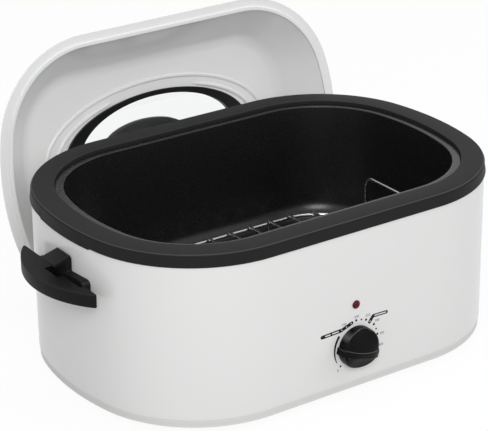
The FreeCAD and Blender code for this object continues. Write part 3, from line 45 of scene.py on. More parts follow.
# the oval outline that body, collar, pan and lid share
HALF_LENGTH = 265.0
HALF_WIDTH = 185.0
END_RADIUS = 330.0
CORNER_RADIUS = 147.0
RIM = 209.0
BASE_TOP = 11.5
SHELL_INSET = 1.7
SHELL_SHEET = 0.8
SKIRT = 15.0
SKIRT_STEP = 1.5
STEP_Y = 51.6
FLOOR = -4.0

# the lid stands on edge behind the body, its inside towards the front; levels are from its rim
LID_LEAN = 9.1
LID_AT = (23.0, 214.398, 159.065)
LID_HEIGHT = 46.0
LID_CEILING = 44.7
LID_SLOPE = math.tan(math.radians(42.0))
LID_WALL_IN = 34.9
LID_WALL_OUT = 33.6
LID_FLANGE = 1.5
LID_HOLE = (131.5, 63.0)
RING_OUTER = (134.5, 66.0)
RING_SIGHT = (114.0, 60.0)
RIDGE_OUTER = (164.3, 83.8)
RIDGE_INNER = (158.3, 77.8)
END_RIDGE = (146.0, 69.5)
END_RIDGE_Y = 28.5
RIDGE_HALF = 3.0
RIDGE_DROP = 2.4
RIDGE_ROOT = 0.5
GLASS_OVAL = (131.1, 62.6)
GLASS_TOP = 48.7
GRIP_BOTTOM = GLASS_TOP + 24.0
GRIP_OVAL = (59.0, 25.0)
POST_X = 34.0

# the dial on the front wall
WALL_Y = -(HALF_WIDTH - SHELL_INSET)
LAMP_Z = 105.5
PRINT_SHIFT = (1.2, -0.9)
PRINT_THICK = 0.06
PRINT_LIFT = 0.05
SWEEP_RADIUS = 30.3
NUMBER_SIZE = 4.4

# the knob: u runs along its bar, v across it, and heights are from the knob's back
KNOB_Z = 55.0
KNOB_BACK = 184.0
KNOB_TURN = 14.5
KNOB_RADIUS = 24.3
KNOB_LIP = 8.6
KNOB_DISH = 2.4
KNOB_EDGE = 2.2
KNOB_STATIONS = (0.0, 0.01, 0.03, 0.06, 0.1, 0.16, 0.25, 0.36, 0.48, 0.6, 0.72, 0.84, 0.93)
BAR_REACH = 26.5
BAR_SHIFT = -5.2
BAR_WAIST = 1.9
BAR_FLARE = 2.2
BAR_FLARE_AT = 22.8
BAR_BEVEL = 0.6
BAR_FALL = 0.7
BAR_UNDER = 0.3
CREST_END = 11.2
CREST_RISE = 6.2
UPPER_SLOPE = 25.0
LOWER_SLOPE = 17.0
NUB_HALF = 4.4
NUB_CORNER = 1.6
NUB_OFFSET = 0.6
NUB_DEEPER = 0.8
SHAFT_WELL = (15.0, 5.2)

# the end handles: a crescent shelf, a plate on the wall and a hood over the middle
HANDLE_REACH = 299.8
HANDLE_BOW = 121.0
HANDLE_TIP_Y = 79.0
SHELF_BACK = 267.5
SHELF_MIDDLE = 144.4
SHELF_THICK = 16.0
SLOT_CUT = 30.0
SLOT_FLOOR = SHELF_MIDDLE - 5.5
WALL_INSET = 1.5
PLATE_GAP = 0.4
PLATE_SLAB = 2.0
PLATE_FACE = 269.6
PLATE_Y = 52.5
PLATE_TOP = 156.6
PLATE_LOW_TOP = 148.0
TAB_TOP = 172.5
TAB_HALF = 13.7
HOOD_OFFSET = 5.5
HOOD_WIDTH = 28.0


# ---------------------------------------------------------------- outlines

def oval(inset, height, drop=0.0):
    """The shared outline moved in by an inset; drop lowers the middle of its two ends."""
    corner_y = HALF_WIDTH - CORNER_RADIUS
    end_x = HALF_LENGTH - END_RADIUS
    reach = math.sqrt((END_RADIUS - CORNER_RADIUS) ** 2 - corner_y ** 2)
    corner_x = end_x + reach
    turn = math.degrees(math.atan2(corner_y, reach))
    step = math.degrees(math.asin(STEP_Y / END_RADIUS))
    quarter = []
    for degrees in sorted([turn * i / 8 for i in range(9)] + [step - 0.06, step + 0.06]):
        angle = math.radians(degrees)
        r = END_RADIUS - inset
        quarter.append((end_x + r * math.cos(angle), r * math.sin(angle),
                        drop if degrees < step else 0.0))
    for i in range(1, 25):
        angle = math.radians(turn + (90 - turn) * i / 24)
        r = CORNER_RADIUS - inset
        quarter.append((corner_x + r * math.cos(angle), corner_y + r * math.sin(angle), 0.0))
    for i in range(1, 9):
        quarter.append((corner_x * (1 - i / 8), HALF_WIDTH - inset, 0.0))
    upper = quarter + [(-x, y, d) for x, y, d in reversed(quarter[:-1])]
    whole = upper + [(x, -y, d) for x, y, d in reversed(upper[1:-1])]
    return [Vector((x, y, height - d)) for x, y, d in whole]


def ellipse(long_radius, short_radius, height, steps=96):
    """A level ring of points on an ellipse."""
    return [Vector((long_radius * math.cos(2 * math.pi * i / steps),
                    short_radius * math.sin(2 * math.pi * i / steps), height))
            for i in range(steps)]


def shrunk(radii, profile):
    """Rings of one ellipse moved in, from stations of (inset, height)."""
    return [ellipse(radii[0] - inset, radii[1] - inset, height) for inset, height in profile]


def turned(profile, steps=64, centre=(0.0, 0.0)):
    """Rings of a turned piece from stations of (radius, height)."""
    middle = Vector((centre[0], centre[1], 0))
    return [[v + middle for v in ellipse(radius, radius, height, steps)]
            for radius, height in profile]


def band(outer, inner, profile):
    """Rings of an elliptical band; a profile station is (share of the width, height)."""
    return [ellipse(outer[0] + (inner[0] - outer[0]) * share,
                    outer[1] + (inner[1] - outer[1]) * share, height)
            for share, height in profile]


def stations(profile):
    """Rings of the shared outline from stations of (inset, height)."""
    return [oval(inset, height) for inset, height in profile]


def rounded(corners, steps=6):
    """Round the corners of a closed profile; each is (a, b) or (a, b, radius)."""
    made = []
    count = len(corners)
    for i, corner in enumerate(corners):
        here = Vector(corner[:2])
        radius = corner[2] if len(corner) > 2 else 0
        if not radius:
            made.append(tuple(here))
            continue
        before = (Vector(corners[i - 1][:2]) - here).normalized()
        after = (Vector(corners[(i + 1) % count][:2]) - here).normalized()
        half = before.angle(after) / 2
        centre = here + (before + after).normalized() * radius / math.sin(half)
        start = here + before * radius / math.tan(half) - centre
        stop = here + after * radius / math.tan(half) - centre
        whole = start.angle_signed(stop)
        for k in range(steps + 1):
            swung = Matrix.Rotation(-whole * k / steps, 2) @ start
            made.append(tuple(centre + swung))
    return made


def arc(centre, radius, start, stop, steps):
    """Points along an arc in the plane, angles in degrees."""
    turns = [math.radians(start + (stop - start) * i / steps) for i in range(steps + 1)]
    return [(centre[0] + radius * math.cos(t), centre[1] + radius * math.sin(t)) for t in turns]


def capsule(start, stop, width):
    """Outline of a bar with round ends between two points."""
    a, b = Vector(start), Vector(stop)
    along = math.degrees(math.atan2((b - a).y, (b - a).x))
    return (arc(a, width / 2, along + 90, along + 270, 8)
            + arc(b, width / 2, along - 90, along + 90, 8))


def mirrored_outline(half):
    """A closed outline from its half with y above zero, first point to last."""
    return half + [(x, -y, *radius) for x, y, *radius in reversed(half) if abs(y) > TINY]


# ---------------------------------------------------------------- mesh makers

def placed(name, data):
    """A new object in the scene from a mesh, a curve, a lamp or a camera."""
    piece = bpy.data.objects.new(name, data)
    bpy.context.scene.collection.objects.link(piece)
    return piece


def faced_out(mesh, weld=True):
    """Turn every face outwards, and weld points that lie on each other if asked."""
    work = bmesh.new()
    work.from_mesh(mesh)
    if weld:
        bmesh.ops.remove_doubles(work, verts=work.verts, dist=TINY)
    bmesh.ops.recalc_face_normals(work, faces=work.faces)
    work.to_mesh(mesh)
    work.free()
    return mesh


def dress(name, mesh, material, body, sharp=40.0):
    """Make a mesh a piece of a body, with its finish, smooth but for its sharp edges."""
    for polygon in mesh.polygons:
        polygon.use_smooth = True
    mesh.set_sharp_from_angle(angle=math.radians(sharp))
    piece = placed(name, mesh)
    mesh.materials.clear()
    mesh.materials.append(material)
    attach(piece, body)
    return piece


def wall_faces(count, rings, closed):
    """Four-sided faces between rings of equally many points."""
    faces = []
    for k in range(rings if closed else rings - 1):
        a = k * count
        b = ((k + 1) % rings) * count
        for i in range(count):
            j = (i + 1) % count
            faces.append((a + i, a + j, b + j, b + i))
    return faces


def skin(name, rings, material, body, closed=True, cap=False, place=None):
    """A piece skinned over rings, capped at both ends if asked."""
    count = len(rings[0])
    verts = [point for ring in rings for point in ring]
    faces = wall_faces(count, len(rings), closed)
    if cap:
        for ring in (0, len(rings) - 1):
            middle = len(verts)
            verts.append(sum(rings[ring], Vector()) / count)
            for i in range(count):
                faces.append((middle, ring * count + i, ring * count + (i + 1) % count))
    if place:
        verts = [place @ v for v in verts]
    mesh = bpy.data.meshes.new(name)
    mesh.from_pydata([tuple(v * MM) for v in verts], [], faces)
    return dress(name, faced_out(mesh), material, body)


def closed_mesh(name, rings):
    """A bare mesh over rings, with flat ends."""
    count = len(rings[0])
    last = (len(rings) - 1) * count
    faces = wall_faces(count, len(rings), False)
    faces += [tuple(range(count)), tuple(last + i for i in range(count))]
    mesh = bpy.data.meshes.new(name)
    mesh.from_pydata([tuple(v * MM) for ring in rings for v in ring], [], faces)
    return mesh


def baked(piece):
    """The plain mesh of a curve or of a piece with modifiers, the piece itself removed."""
    graph = bpy.context.evaluated_depsgraph_get()
    mesh = bpy.data.meshes.new_from_object(piece.evaluated_get(graph))
    bpy.data.objects.remove(piece)
    return mesh


def slab(outlines, thickness, edge, steps=3):
    """A flat plate with rounded edges from closed plane outlines."""
    data = bpy.data.curves.new("slab", "CURVE")
    data.dimensions = "2D"
    data.fill_mode = "BOTH"
    data.extrude = (thickness / 2 - edge) * MM
    data.bevel_depth = edge * MM
    data.bevel_resolution = steps
    data.offset = -edge * MM
    for outline in outlines:
        line = data.splines.new("POLY")
        line.points.add(len(outline) - 1)
        line.use_cyclic_u = True
        for point, (x, y) in zip(line.points, outline):
            point.co = (x * MM, y * MM, 0.0, 1.0)
    return faced_out(baked(placed("slab", data)))


def moved(mesh, rule):
    """Move each point of a mesh by a rule that takes and gives millimetres."""
    for vertex in mesh.vertices:
        vertex.co = Vector(rule(*(vertex.co / MM))) * MM
    mesh.update()
    return mesh


def fused(first, *steps):
    """One closed mesh: each step joins ("UNION") or takes away ("DIFFERENCE") another."""
    pieces = [placed("part", faced_out(mesh, weld=False))
              for mesh in [first] + [mesh for rule, mesh in steps]]
    for (rule, mesh), other in zip(steps, pieces[1:]):
        join = pieces[0].modifiers.new("join", "BOOLEAN")
        join.operation = rule
        join.solver = "EXACT"
        join.use_self = True
        join.object = other
    mesh = baked(pieces[0])
    for other in pieces[1:]:
        bpy.data.objects.remove(other)
    return mesh


# ---------------------------------------------------------------- finishes

def linear(level):
    """A screen level of 0 to 255 as the light it stands for."""
    level /= 255
    return level / 12.92 if level <= 0.04045 else ((level + 0.055) / 1.055) ** 2.4


def tint(red, green, blue):
    """A colour from its three screen levels."""
    return (linear(red), linear(green), linear(blue), 1.0)


def new_group(name, inputs, outputs):
    """An empty node group with named sockets: its tree, nodes, links, entry and exit."""
    group = bpy.data.node_groups.new(name, "ShaderNodeTree")
    for label, kind, value in inputs:
        socket = group.interface.new_socket(label, in_out="INPUT", socket_type=kind)
        socket.default_value = value
    for label, kind in outputs:
        group.interface.new_socket(label, in_out="OUTPUT", socket_type=kind)
    return (group, group.nodes, group.links, group.nodes.new("NodeGroupInput"),
            group.nodes.new("NodeGroupOutput"))


def put(links, value, socket):
    """Set a socket to a plain number, or link it to another socket."""
    if isinstance(value, (int, float)):
        socket.default_value = value
    else:
        links.new(value, socket)


def maths(nodes, links, operation, *values):
    """What one maths node makes of plain numbers and sockets."""
    node = nodes.new("ShaderNodeMath")
    node.operation = operation
    for socket, value in zip(node.inputs, values):
        put(links, value, socket)
    return node.outputs[0]


def own_place(nodes, what="Object"):
    """The piece's own coordinates or normals, the same in every view."""
    return nodes.new("ShaderNodeTexCoord").outputs[what]


def noise_over(nodes, links, place, scale, detail):
    """A noise over the piece, from 0 to 1."""
    noise = nodes.new("ShaderNodeTexNoise")
    noise.inputs["Detail"].default_value = detail
    links.new(place, noise.inputs["Vector"])
    put(links, scale, noise.inputs["Scale"])
    return noise.outputs["Fac"]


def wandering(nodes, links, noise, amount, level):
    """A level that a noise moves up and down by at most half an amount."""
    centred = maths(nodes, links, "SUBTRACT", noise, 0.5)
    return maths(nodes, links, "MULTIPLY_ADD", centred, amount, level)


def rough_and_raised(nodes, links, entry, leave, noise, depth):
    """Give out a roughness that wanders with a noise and a normal that it raises."""
    rough = wandering(nodes, links, noise, entry.outputs["Spread"], entry.outputs["Roughness"])
    links.new(rough, leave.inputs["Roughness"])
    bump = nodes.new("ShaderNodeBump")
    bump.inputs["Distance"].default_value = depth
    links.new(entry.outputs["Relief"], bump.inputs["Strength"])
    links.new(noise, bump.inputs["Height"])
    links.new(bump.outputs["Normal"], leave.inputs["Normal"])


def two_tone(nodes, links, share, entry, other, leave):
    """Give out the colour, turning into another by a share."""
    mix = nodes.new("ShaderNodeMix")
    mix.data_type = "RGBA"
    links.new(share, mix.inputs[0])
    links.new(entry.outputs["Colour"], mix.inputs[6])
    links.new(entry.outputs[other], mix.inputs[7])
    links.new(mix.outputs[2], leave.inputs["Colour"])


def grain_group():
    """Fine unevenness: a roughness that wanders and a faint raised normal."""
    group, nodes, links, entry, leave = new_group("Fine grain", (
        ("Scale", "NodeSocketFloat", 400.0), ("Roughness", "NodeSocketFloat", 0.4),
        ("Spread", "NodeSocketFloat", 0.05), ("Relief", "NodeSocketFloat", 0.05)),
        (("Roughness", "NodeSocketFloat"), ("Normal", "NodeSocketVector")))
    noise = noise_over(nodes, links, own_place(nodes), entry.outputs["Scale"], 3)
    rough_and_raised(nodes, links, entry, leave, noise, 0.0004)
    return group


def drift_group():
    """A slow wander of tone over a broad surface."""
    group, nodes, links, entry, leave = new_group("Tone drift", (
        ("Colour", "NodeSocketColor", (1, 1, 1, 1)), ("Scale", "NodeSocketFloat", 8.0),
        ("Amount", "NodeSocketFloat", 0.04)), (("Colour", "NodeSocketColor"),))
    noise = noise_over(nodes, links, own_place(nodes), entry.outputs["Scale"], 2)
    level = wandering(nodes, links, noise, entry.outputs["Amount"], 1.0)
    scale = nodes.new("ShaderNodeVectorMath")
    scale.operation = "SCALE"
    links.new(entry.outputs["Colour"], scale.inputs[0])
    links.new(level, scale.inputs["Scale"])
    links.new(scale.outputs[0], leave.inputs["Colour"])
    return group


def fleck_group():
    """Scattered pale flecks in a dark enamel."""
    group, nodes, links, entry, leave = new_group("Flecks", (
        ("Colour", "NodeSocketColor", (0, 0, 0, 1)), ("Fleck", "NodeSocketColor", (1, 1, 1, 1)),
        ("Scale", "NodeSocketFloat", 500.0), ("Size", "NodeSocketFloat", 0.2),
        ("Amount", "NodeSocketFloat", 0.5)), (("Colour", "NodeSocketColor"),))
    cells = nodes.new("ShaderNodeTexVoronoi")
    links.new(own_place(nodes), cells.inputs["Vector"])
    links.new(entry.outputs["Scale"], cells.inputs["Scale"])
    inside = maths(nodes, links, "LESS_THAN", cells.outputs["Distance"], entry.outputs["Size"])
    share = maths(nodes, links, "MULTIPLY", inside, entry.outputs["Amount"])
    two_tone(nodes, links, share, entry, "Fleck", leave)
    return group


def brush_group():
    """Long fine streaks of rolled or brushed metal along one axis."""
    group, nodes, links, entry, leave = new_group("Brushed streaks", (
        ("Stretch", "NodeSocketVector", (20.0, 20.0, 900.0)),
        ("Roughness", "NodeSocketFloat", 0.35), ("Spread", "NodeSocketFloat", 0.15),
        ("Relief", "NodeSocketFloat", 0.05)),
        (("Roughness", "NodeSocketFloat"), ("Normal", "NodeSocketVector")))
    stretch = nodes.new("ShaderNodeVectorMath")
    stretch.operation = "MULTIPLY"
    links.new(own_place(nodes), stretch.inputs[0])
    links.new(entry.outputs["Stretch"], stretch.inputs[1])
    noise = noise_over(nodes, links, stretch.outputs[0], 1.0, 4)
    rough_and_raised(nodes, links, entry, leave, noise, 0.0003)
    return group


def painted_highlight_group():
    """Painted highlight: a paler colour where the normal's height nears a slope, where a
    moulded top rolls over into its side.
    """
    group, nodes, links, entry, leave = new_group("Painted edge highlight", (
        ("Colour", "NodeSocketColor", (0, 0, 0, 1)), ("Edge", "NodeSocketColor", (1, 1, 1, 1)),
        ("Slope", "NodeSocketFloat", 0.7), ("Width", "NodeSocketFloat", 0.3)),
        (("Colour", "NodeSocketColor"),))
    split = nodes.new("ShaderNodeSeparateXYZ")
    links.new(own_place(nodes, "Normal"), split.inputs[0])
    away = maths(nodes, links, "ABSOLUTE",
                 maths(nodes, links, "SUBTRACT", split.outputs["Z"], entry.outputs["Slope"]))
    near = maths(nodes, links, "SUBTRACT", 1.0,
                 maths(nodes, links, "DIVIDE", away, entry.outputs["Width"]))
    share = maths(nodes, links, "MAXIMUM", near, 0.0)
    two_tone(nodes, links, share, entry, "Edge", leave)
    return group


GRAIN = grain_group()
PAINTED_HIGHLIGHT = painted_highlight_group()
DRIFT = drift_group()
FLECKS = fleck_group()
STREAKS = brush_group()

SURFACE = {"Roughness": "Roughness", "Normal": "Normal"}
TONE = {"Colour": "Base Color"}


def add_group(material, tree, outputs, **values):
    """Place a shared group in a material and join its outputs to the shader."""
    nodes, links = material.node_tree.nodes, material.node_tree.links
    group = nodes.new("ShaderNodeGroup")
    group.node_tree = tree
    for key, value in values.items():
        group.inputs[key].default_value = value
    for label, socket in outputs.items():
        links.new(group.outputs[label], nodes["Principled BSDF"].inputs[socket])


def plain(name, colour, **sockets):
    """A material with its colour and its plain values set on the shader itself."""
    material = bpy.data.materials.new(name)
    material.use_nodes = True
    shader = material.node_tree.nodes["Principled BSDF"]
    shader.inputs["Base Color"].default_value = colour
    for key, value in sockets.items():
        shader.inputs[key.replace("_", " ")].default_value = value
    material.diffuse_color = colour
    return material


def finish(name, colour, rough, scale=400.0, spread=0.05, relief=0.03, drift=0.03, **sockets):
    """A painted or moulded surface with the shared grain and tone drift."""
    material = plain(name, colour, **sockets)
    add_group(material, GRAIN, SURFACE, Scale=scale, Roughness=rough, Spread=spread,
              Relief=relief)
    add_group(material, DRIFT, TONE, Colour=colour, Amount=drift)
    return material


def flecked(name, colour, fleck, rough, size, amount, **sockets):
    """A dark enamel with pale flecks in it."""
    material = plain(name, colour, **sockets)
    add_group(material, GRAIN, SURFACE, Scale=700.0, Roughness=rough, Spread=0.1, Relief=0.04)
    add_group(material, FLECKS, TONE, Colour=colour, Fleck=fleck, Size=size, Amount=amount)
    return material


def brushed(name, colour, rough, stretch, spread=0.15):
    """A bare metal with streaks along the axis that is stretched least."""
    material = plain(name, colour, Metallic=1.0)
    add_group(material, STREAKS, SURFACE, Stretch=stretch, Roughness=rough, Spread=spread)
    add_group(material, DRIFT, TONE, Colour=colour, Amount=0.1)
    return material


def moulded(name, colour, edge, rough, slope, width, relief=0.08):
    """A matt black moulding with a painted highlight, a paler colour along its rolled edges."""
    material = plain(name, colour, Specular_IOR_Level=0.08)
    add_group(material, GRAIN, SURFACE, Scale=1600.0, Roughness=rough, Spread=0.08,
              Relief=relief)
    add_group(material, PAINTED_HIGHLIGHT, TONE, Colour=colour, Edge=edge, Slope=slope, Width=width)
    return material


# sheen of the glossier dark mouldings
DARK = {"Specular_IOR_Level": 0.22}

shell_paint = finish("shell paint", tint(229, 229, 227), 0.30, scale=900, spread=0.03,
                     relief=0.01, drift=0.015, Coat_Weight=0.35, Coat_Roughness=0.08)
base_plastic = finish("base plastic", tint(219, 218, 216), 0.38)
# the second colour of the collar, handle and knob mouldings is a painted highlight on their
# rolled edges, chosen by which way the normals face
collar_plastic = moulded("collar plastic", tint(36, 36, 37), tint(74, 74, 75), 0.55,
                         slope=0.75, width=0.2)
handle_plastic = moulded("handle plastic", tint(25, 25, 26), tint(46, 46, 47), 0.45,
                         slope=0.6, width=0.35)
window_plastic = finish("window frame plastic", tint(14, 14, 15), 0.30, **DARK)
knob_plastic = moulded("knob plastic", tint(11, 11, 11), tint(80, 80, 80), 0.28,
                       slope=0.72, width=0.2, relief=0.01)
lamp_plastic = finish("lamp lens plastic", tint(84, 3, 14), 0.25, Specular_IOR_Level=0.2)
print_black = finish("black print", tint(14, 14, 14), 0.5, Specular_IOR_Level=0.2)
print_grey = finish("grey print", tint(96, 96, 96), 0.5)
print_light = finish("light print", tint(238, 238, 236), 0.5)
pan_enamel = flecked("pan enamel", tint(17, 17, 18), tint(70, 70, 72), 0.28, size=0.16,
                     amount=0.35, Specular_IOR_Level=0.35)
liner_steel = brushed("liner steel", tint(150, 150, 152), 0.42, (30.0, 30.0, 900.0))
bright_steel = brushed("bright steel", tint(170, 170, 172), 0.35, (30.0, 900.0, 30.0))
screw_steel = brushed("screw steel", tint(160, 160, 160), 0.38, (900.0, 60.0, 900.0),
                      spread=0.1)
heater_sheath = finish("heater sheath", tint(96, 94, 92), 0.55, Metallic=1.0)
rack_chrome = finish("rack chrome", tint(178, 178, 180), 0.22, Metallic=1.0)
lid_enamel = finish("lid enamel", tint(224, 224, 223), 0.26, scale=900, spread=0.03,
                    relief=0.01, drift=0.01, Coat_Weight=0.3, Coat_Roughness=0.06)
foot_rubber = finish("foot rubber", tint(30, 30, 30), 0.75, scale=1200, spread=0.1, relief=0.2)
gasket_rubber = finish("gasket rubber", tint(26, 26, 26), 0.6)
glass_fibre = finish("glass fibre", tint(232, 226, 205), 0.95, scale=300, spread=0.05,
                     relief=0.8, drift=0.12)
fuse_sleeve = finish("fuse sleeve", tint(225, 220, 205), 0.6)
fitting_plastic = finish("fitting plastic", tint(44, 44, 45), 0.5, **DARK)
window_glass = plain("clear glass", (0.97, 0.985, 0.98, 1.0), Roughness=0.0, IOR=1.45,
                     Transmission_Weight=1.0)

NODE_FINISH = {
    "base_pan": base_plastic, "outer_shell": shell_paint, "top_collar": collar_plastic,
    "foot_front_left": foot_rubber, "foot_front_right": foot_rubber,
    "foot_back_left": foot_rubber, "foot_back_right": foot_rubber,
    "heat_shield": bright_steel, "liner_spacers": bright_steel, "heater_clips": bright_steel,
    "fuse_strap": bright_steel, "lamp_clip": bright_steel, "handle_washers": bright_steel,
    "liner_studs": screw_steel, "stud_nuts": screw_steel, "collar_screws": screw_steel,
    "handle_screws": screw_steel, "lid_handle_screws": screw_steel, "bushing_nut": screw_steel,
    "thermostat_shaft": screw_steel, "liner": liner_steel,
    "heating_rope_lower": heater_sheath, "heating_rope_upper": heater_sheath,
    "insulation_blanket": glass_fibre, "thermal_fuse": fuse_sleeve,
    "thermostat": fitting_plastic, "terminal_block": fitting_plastic,
    "lamp_body": fitting_plastic, "cord_bushing": fitting_plastic,
    "lamp_lens": lamp_plastic, "control_knob": knob_plastic,
    "handle_left": handle_plastic, "handle_right": handle_plastic,
    "roasting_pan": pan_enamel, "wire_rack": rack_chrome, "rack_bars": rack_chrome,
    "rack_bails": rack_chrome, "lid_shell": lid_enamel,
    "window_ring": window_plastic, "window_bezel": window_plastic, "lid_window": window_glass,
    "handle_gaskets": gasket_rubber, "lid_handle": handle_plastic,
}
for node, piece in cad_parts.items():
    piece.data.materials.clear()
    piece.data.materials.append(NODE_FINISH[node])


# ---------------------------------------------------------------- body and pan

def body_shell():
    """The painted wrap between the base and the collar."""
    top = RIM - 3.2
    low = BASE_TOP + 0.2
    inner = SHELL_INSET + SHELL_SHEET
    shell = skin("shell_wrap", stations([(SHELL_INSET, low), (SHELL_INSET, top), (inner, top),
                                         (inner, low)]), shell_paint, "base")
    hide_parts("outer_shell")


def rim_collar():
    """The collar over the shell's top, its skirt a step lower in the middle of the ends."""
    low = RIM - SKIRT
    skirt = [oval(1.4, low, SKIRT_STEP), oval(0.4, low, SKIRT_STEP),
             oval(0.1, low + 0.2, SKIRT_STEP), oval(0.0, low + 0.6, SKIRT_STEP)]
    rest = rounded([
        (0.0, RIM, 3.0), (28.5, RIM, 0.8), (28.5, RIM - 5.5, 0.6), (36.6, RIM - 5.5, 0.8),
        (37.2, RIM - 16.0, 0.3), (36.0, RIM - 16.0, 0.3), (36.0, RIM - 8.0), (26.0, RIM - 8.0),
        (26.0, RIM - 3.0), (1.4, RIM - 3.0)])
    collar = skin("rim_collar", skirt + stations(rest), collar_plastic, "base")
    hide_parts("top_collar")


def pan_bowl():
    """The pan's sheet: up the outside from its floor, over the rim and down the inside."""
    rings = stations(rounded([
        (140.0, 60.0), (47.8, 60.0, 26.0), (37.8, 203.6, 0.3), (29.3, 203.8, 0.3),
        (29.3, 205.0, 0.5), (39.0, 205.0, 1.1), (49.0, 61.2, 24.8), (140.0, 61.2)]))
    pan = skin("pan_bowl", rings, pan_enamel, "pan", closed=False, cap=True)
    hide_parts("roasting_pan")


# ---------------------------------------------------------------- lid

LID = Matrix.Translation(Vector(LID_AT)) @ Matrix.Rotation(
    math.radians(90 + LID_LEAN), 4, Vector((-1, 0, 0)))


def toward_hole(inset, height, share):
    """Ring part way from the shared outline to the ellipse of the window's hole."""
    long_radius, short_radius = LID_HOLE
    ring = []
    for point in oval(inset, height):
        angle = math.atan2(point.y / short_radius, point.x / long_radius)
        hole = Vector((long_radius * math.cos(angle), short_radius * math.sin(angle), height))
        ring.append(point.lerp(hole, share))
    return ring


def lid_dome():
    """The enamelled dome with its flange: up the inside, round the hole, down the outside."""
    inside = rounded([
        (LID_WALL_IN, -3.0), (LID_WALL_IN, 0.0),
        (LID_WALL_IN + LID_CEILING * LID_SLOPE, LID_CEILING, 23.7), (110.0, LID_CEILING)])[1:-1]
    outside = rounded([
        (110.0, LID_HEIGHT), (LID_WALL_OUT + LID_HEIGHT * LID_SLOPE, LID_HEIGHT, 25.0),
        (LID_WALL_OUT + LID_FLANGE * LID_SLOPE, LID_FLANGE, 1.5), (20.4, LID_FLANGE, 0.6),
        (20.4, 0.0, 0.6), (30.5, 0.0, 0.5), (30.5, -3.0, 1.0), (LID_WALL_IN, -3.0, 1.4)])[1:]
    rings = stations(inside)
    rings += [toward_hole(inside[-1][0], LID_CEILING, share) for share in (0.35, 0.7, 1.0)]
    rings += [toward_hole(outside[0][0], LID_HEIGHT, share) for share in (1.0, 0.7, 0.35)]
    rings += stations(outside)
    dome = skin("lid_dome", rings, lid_enamel, "lid", place=LID)
    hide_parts("lid_shell")


def bead_profile(steps=8):
    """Half-round bead hanging from the lid's ceiling: (share of the width, level)."""
    turns = [math.pi * i / steps for i in range(steps + 1)]
    bead = [(0.5 - 0.5 * math.cos(turn), LID_CEILING - RIDGE_DROP * math.sin(turn) ** 0.8)
            for turn in turns]
    return [(0.0, LID_CEILING + RIDGE_ROOT)] + bead + [(1.0, LID_CEILING + RIDGE_ROOT)]


def end_ridge(side, count=40):
    """Half-round sections along the arc off one end of the window, thinning to its tips."""
    long_radius, short_radius = END_RIDGE
    limit = math.asin(END_RIDGE_Y / short_radius)
    root = Vector((0, 0, RIDGE_ROOT))
    rings = []
    for i in range(count + 1):
        angle = limit + (math.pi - 2 * limit) * i / count + side * math.pi / 2
        near = min(i, count - i) / 2.2
        grow = math.sqrt(max(0.03, 1 - (1 - min(near, 1.0)) ** 2))
        middle = Vector((long_radius * math.cos(angle), short_radius * math.sin(angle),
                         LID_CEILING))
        across = Vector((math.cos(angle), math.sin(angle) * long_radius / short_radius,
                         0)).normalized() * RIDGE_HALF * grow
        ring = [middle + across * math.cos(k * math.pi / 6)
                - Vector((0, 0, RIDGE_DROP * grow * math.sin(k * math.pi / 6)))
                for k in range(7)]
        rings.append(ring + [middle - across + root, middle + across + root])
    return rings


def lid_ridges():
    """The embossed ridge round the window and the two off its ends."""
    ridge = skin("lid_ridge", band(RIDGE_OUTER, RIDGE_INNER, bead_profile()), lid_enamel, "lid",
                 place=LID)
    for side, label in ((1, "left"), (-1, "right")):
        arc_ridge = skin("lid_ridge_" + label, end_ridge(side), lid_enamel, "lid",
                         closed=False, cap=True, place=LID)


def lid_window():
    """The frame's inner and outer rings and the glass between them."""
    inner = skin("window_ring_inside", band(RING_OUTER, RING_SIGHT, rounded([
        (0.0, 44.6), (0.0, 41.4, 0.045), (1.0, 41.4, 0.12), (1.0, 44.6)])),
        window_plastic, "lid", place=LID)
    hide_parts("window_ring")
    outer = skin("window_ring_outside", band(RING_OUTER, RING_SIGHT, [
        (1.0, 48.8), (1.0, 50.9), (0.95, 51.5), (0.86, 51.7), (0.3, 51.7), (0.12, 51.3),
        (0.03, 50.2), (0.0, 48.6), (0.0, 46.1), (0.1, 46.1), (0.1, 48.8)]),
        window_plastic, "lid", place=LID)
    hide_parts("window_bezel")
    glass = skin("window_glass", shrunk(GLASS_OVAL, [
        (0.2, 44.72), (0.0, 44.95), (0.0, 48.45), (0.2, 48.68)]),
        window_glass, "lid", closed=False, cap=True, place=LID)
    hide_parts("lid_window")


def lid_grip():
    """The bridge handle over the glass: an oval bar on two posts."""
    bar = skin("lid_grip_bar", shrunk(GRIP_OVAL, [
        (inset, GRIP_BOTTOM + height) for inset, height in [
            (7.0, 0.0), (1.4, 0.0), (0.4, 0.5), (0.0, 1.6), (0.0, 7.2), (0.5, 9.6), (1.9, 11.5),
            (4.0, 12.6), (8.0, 13.0)]]),
        handle_plastic, "lid", closed=False, cap=True, place=LID)
    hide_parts("lid_handle")
    foot, top = GLASS_TOP + 1.2, GRIP_BOTTOM + 0.6
    for x, label in ((-POST_X, "left"), (POST_X, "right")):
        post = skin("lid_grip_post_" + label, turned([
            (2.7, foot), (8.6, foot), (9.0, foot + 0.4), (8.8, foot + 2.0), (8.2, foot + 8.0),
            (8.2, foot + 15.0), (8.9, foot + 20.5), (9.0, top), (2.7, top)], centre=(x, 0.0)),
            handle_plastic, "lid", place=LID)


# ---------------------------------------------------------------- side handles

def on_wall(y, z, depth):
    """Spread the flat plate so that its back follows the wall and its face stays flat."""
    wall = HALF_LENGTH - END_RADIUS + math.sqrt((END_RADIUS - WALL_INSET) ** 2 - y * y)
    back = wall + PLATE_GAP
    return back + (PLATE_FACE - back) * (depth + PLATE_SLAB / 2) / PLATE_SLAB, y, z


